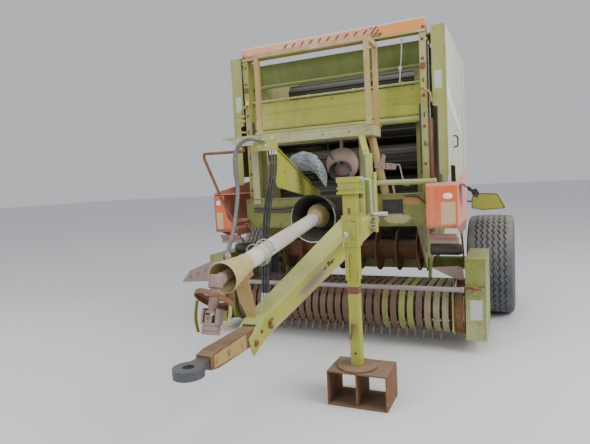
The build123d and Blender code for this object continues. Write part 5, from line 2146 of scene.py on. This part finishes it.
@dataclass
class Tail(Assembly):
    """Ribs and bolts of the tailgate shell, in millimetres."""

    # place of each rib round the shell in degrees
    turns: Tuple[float, ...] = (-38.0, 38.0, 62.0)
    outer: float = 840.0
    rise: float = 17.0
    width: float = 70.0

    def build(self) -> None:
        """Builds three ribs across the shell, with bolts at their ends."""
        ribs, bolts = Shape(), Shape()
        spread = math.degrees(self.width / 2 / self.outer)
        top = self.outer + self.rise
        for turn in self.turns:
            inner = arc(CHAMBER, self.outer - 2, np.radians([turn - spread, turn + spread]))
            outer = arc(CHAMBER, top, np.radians([turn + spread * 0.7, turn - spread * 0.7]))
            ribs.prism(Along.X, -600, 600, np.concatenate([inner, outer]))
            out = (0.0, math.cos(math.radians(turn)), math.sin(math.radians(turn)))
            for x in (-560, -280, 0, 280, 560):
                bolts.bolt(np.array([x, *CHAMBER]) + np.array(out) * top, out, 8)
        self.fit(ribs, "shell_ribs", Coat.GREEN, Slot.GREEN, "tailgate", bevel=2.0)
        self.fit(bolts, "shell_bolts", Coat.RUST, Slot.RUST, "tailgate")


# ---------------------------------------------------------------- studio


@dataclass
class Studio:
    """Camera at the photograph's angle, pale floor and soft lights."""

    place: Point = (1.2589, -3.5129, 1.2079)
    yaw: float = 0.4248
    pitch: float = -0.0780
    roll: float = -0.0517
    focal_px: float = 489.3
    width_px: float = 590.0
    sensor: float = 36.0
    reach: float = 200.0
    floor_half: float = 60.0
    floor_rough: float = 0.85
    sky: Colour = (0.86, 0.89, 0.94)
    sky_power: float = 0.66
    aim: Point = (0.0, -0.2, 0.9)

    def build(self) -> None:
        """Makes the camera, the floor and the lights."""
        self.camera()
        self.floor()
        self.lights()
        LOG.info("studio ready")

    def camera(self) -> None:
        """Sets the camera: forward from yaw and pitch, then turned about it by the roll."""
        data = bpy.data.cameras.new("view")
        data.sensor_width = self.sensor
        data.lens = self.focal_px / self.width_px * self.sensor
        data.clip_end = self.reach
        forward = Vector(
            (
                -math.sin(self.yaw) * math.cos(self.pitch), math.cos(self.yaw) * math.cos(self.pitch),
                math.sin(self.pitch),
            )
        )
        right = Vector((math.cos(self.yaw), math.sin(self.yaw), 0.0))
        up = right.cross(forward)
        side = math.cos(self.roll) * right + math.sin(self.roll) * up
        top = -math.sin(self.roll) * right + math.cos(self.roll) * up
        turn = Matrix((side, top, -forward)).transposed().to_4x4()
        camera = bpy.data.objects.new("camera", data)
        camera.matrix_world = Matrix.Translation(self.place) @ turn
        bpy.context.scene.collection.objects.link(camera)
        bpy.context.scene.camera = camera

    def floor(self) -> None:
        """Lays a pale floor."""
        half = self.floor_half
        mesh = bpy.data.meshes.new("floor")
        corners = [(-half, -half, 0.0), (half, -half, 0.0), (half, half, 0.0), (-half, half, 0.0)]
        mesh.from_pydata(corners, [], [(0, 1, 2, 3)])
        floor = bpy.data.objects.new("floor", mesh)
        bpy.context.scene.collection.objects.link(floor)
        g = Graph("floor_paint")
        cloud = g.noise(0.8, 4.0)
        mesh.materials.append(
            g.finish(g.mix((0.74, 0.74, 0.75), (0.80, 0.80, 0.80), cloud), self.floor_rough)
        )

    def lights(self) -> None:
        """Hangs wide soft lights and a pale world."""
        world = bpy.data.worlds.new("studio")
        world.use_nodes = True
        back = world.node_tree.nodes["Background"]
        back.inputs[0].default_value = (*self.sky, 1.0)
        back.inputs[1].default_value = self.sky_power
        bpy.context.scene.world = world
        # name, place, size in metres, power in watts, colour
        rows = (
            ("window", (6.5, -1.5, 5.0), 4.0, 400.0, (1.0, 0.99, 0.97)),
            ("front", (-3.0, -6.5, 4.5), 3.5, 210.0, (1.0, 0.98, 0.95)),
            ("roof", (0.5, -1.0, 6.5), 4.0, 120.0, (1.0, 1.0, 1.0)),
        )
        for name, place, size, power, colour in rows:
            data = bpy.data.lights.new(name, "AREA")
            data.size = size
            data.energy = power
            data.color = colour
            lamp = bpy.data.objects.new(name, data)
            lamp.location = place
            aim = Vector(self.aim) - Vector(place)
            lamp.rotation_euler = aim.to_track_quat("-Z", "Y").to_euler()
            bpy.context.scene.collection.objects.link(lamp)


def write_sizes() -> None:
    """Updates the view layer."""
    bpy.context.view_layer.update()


ASSEMBLIES: Tuple[type, ...] = (
    Cords,
    Wheels,
    Drawbar,
    Jack,
    DriveLine,
    Deck,
    HoseBracket,
    Hanging,
    Front,
    Covers,
    Guards,
    Mudguards,
    Pickup,
    Tail,
)


def main() -> None:
    """Builds the studio, the finishes and every piece, in order."""
    logging.basicConfig(level=logging.INFO, format="%(name)s: %(message)s")
    Studio().build()
    shop = Paintshop()
    shop.dress_frame()
    for assembly in ASSEMBLIES:
        assembly(shop).build()
    write_sizes()


if __name__ == "__main__":
    main()
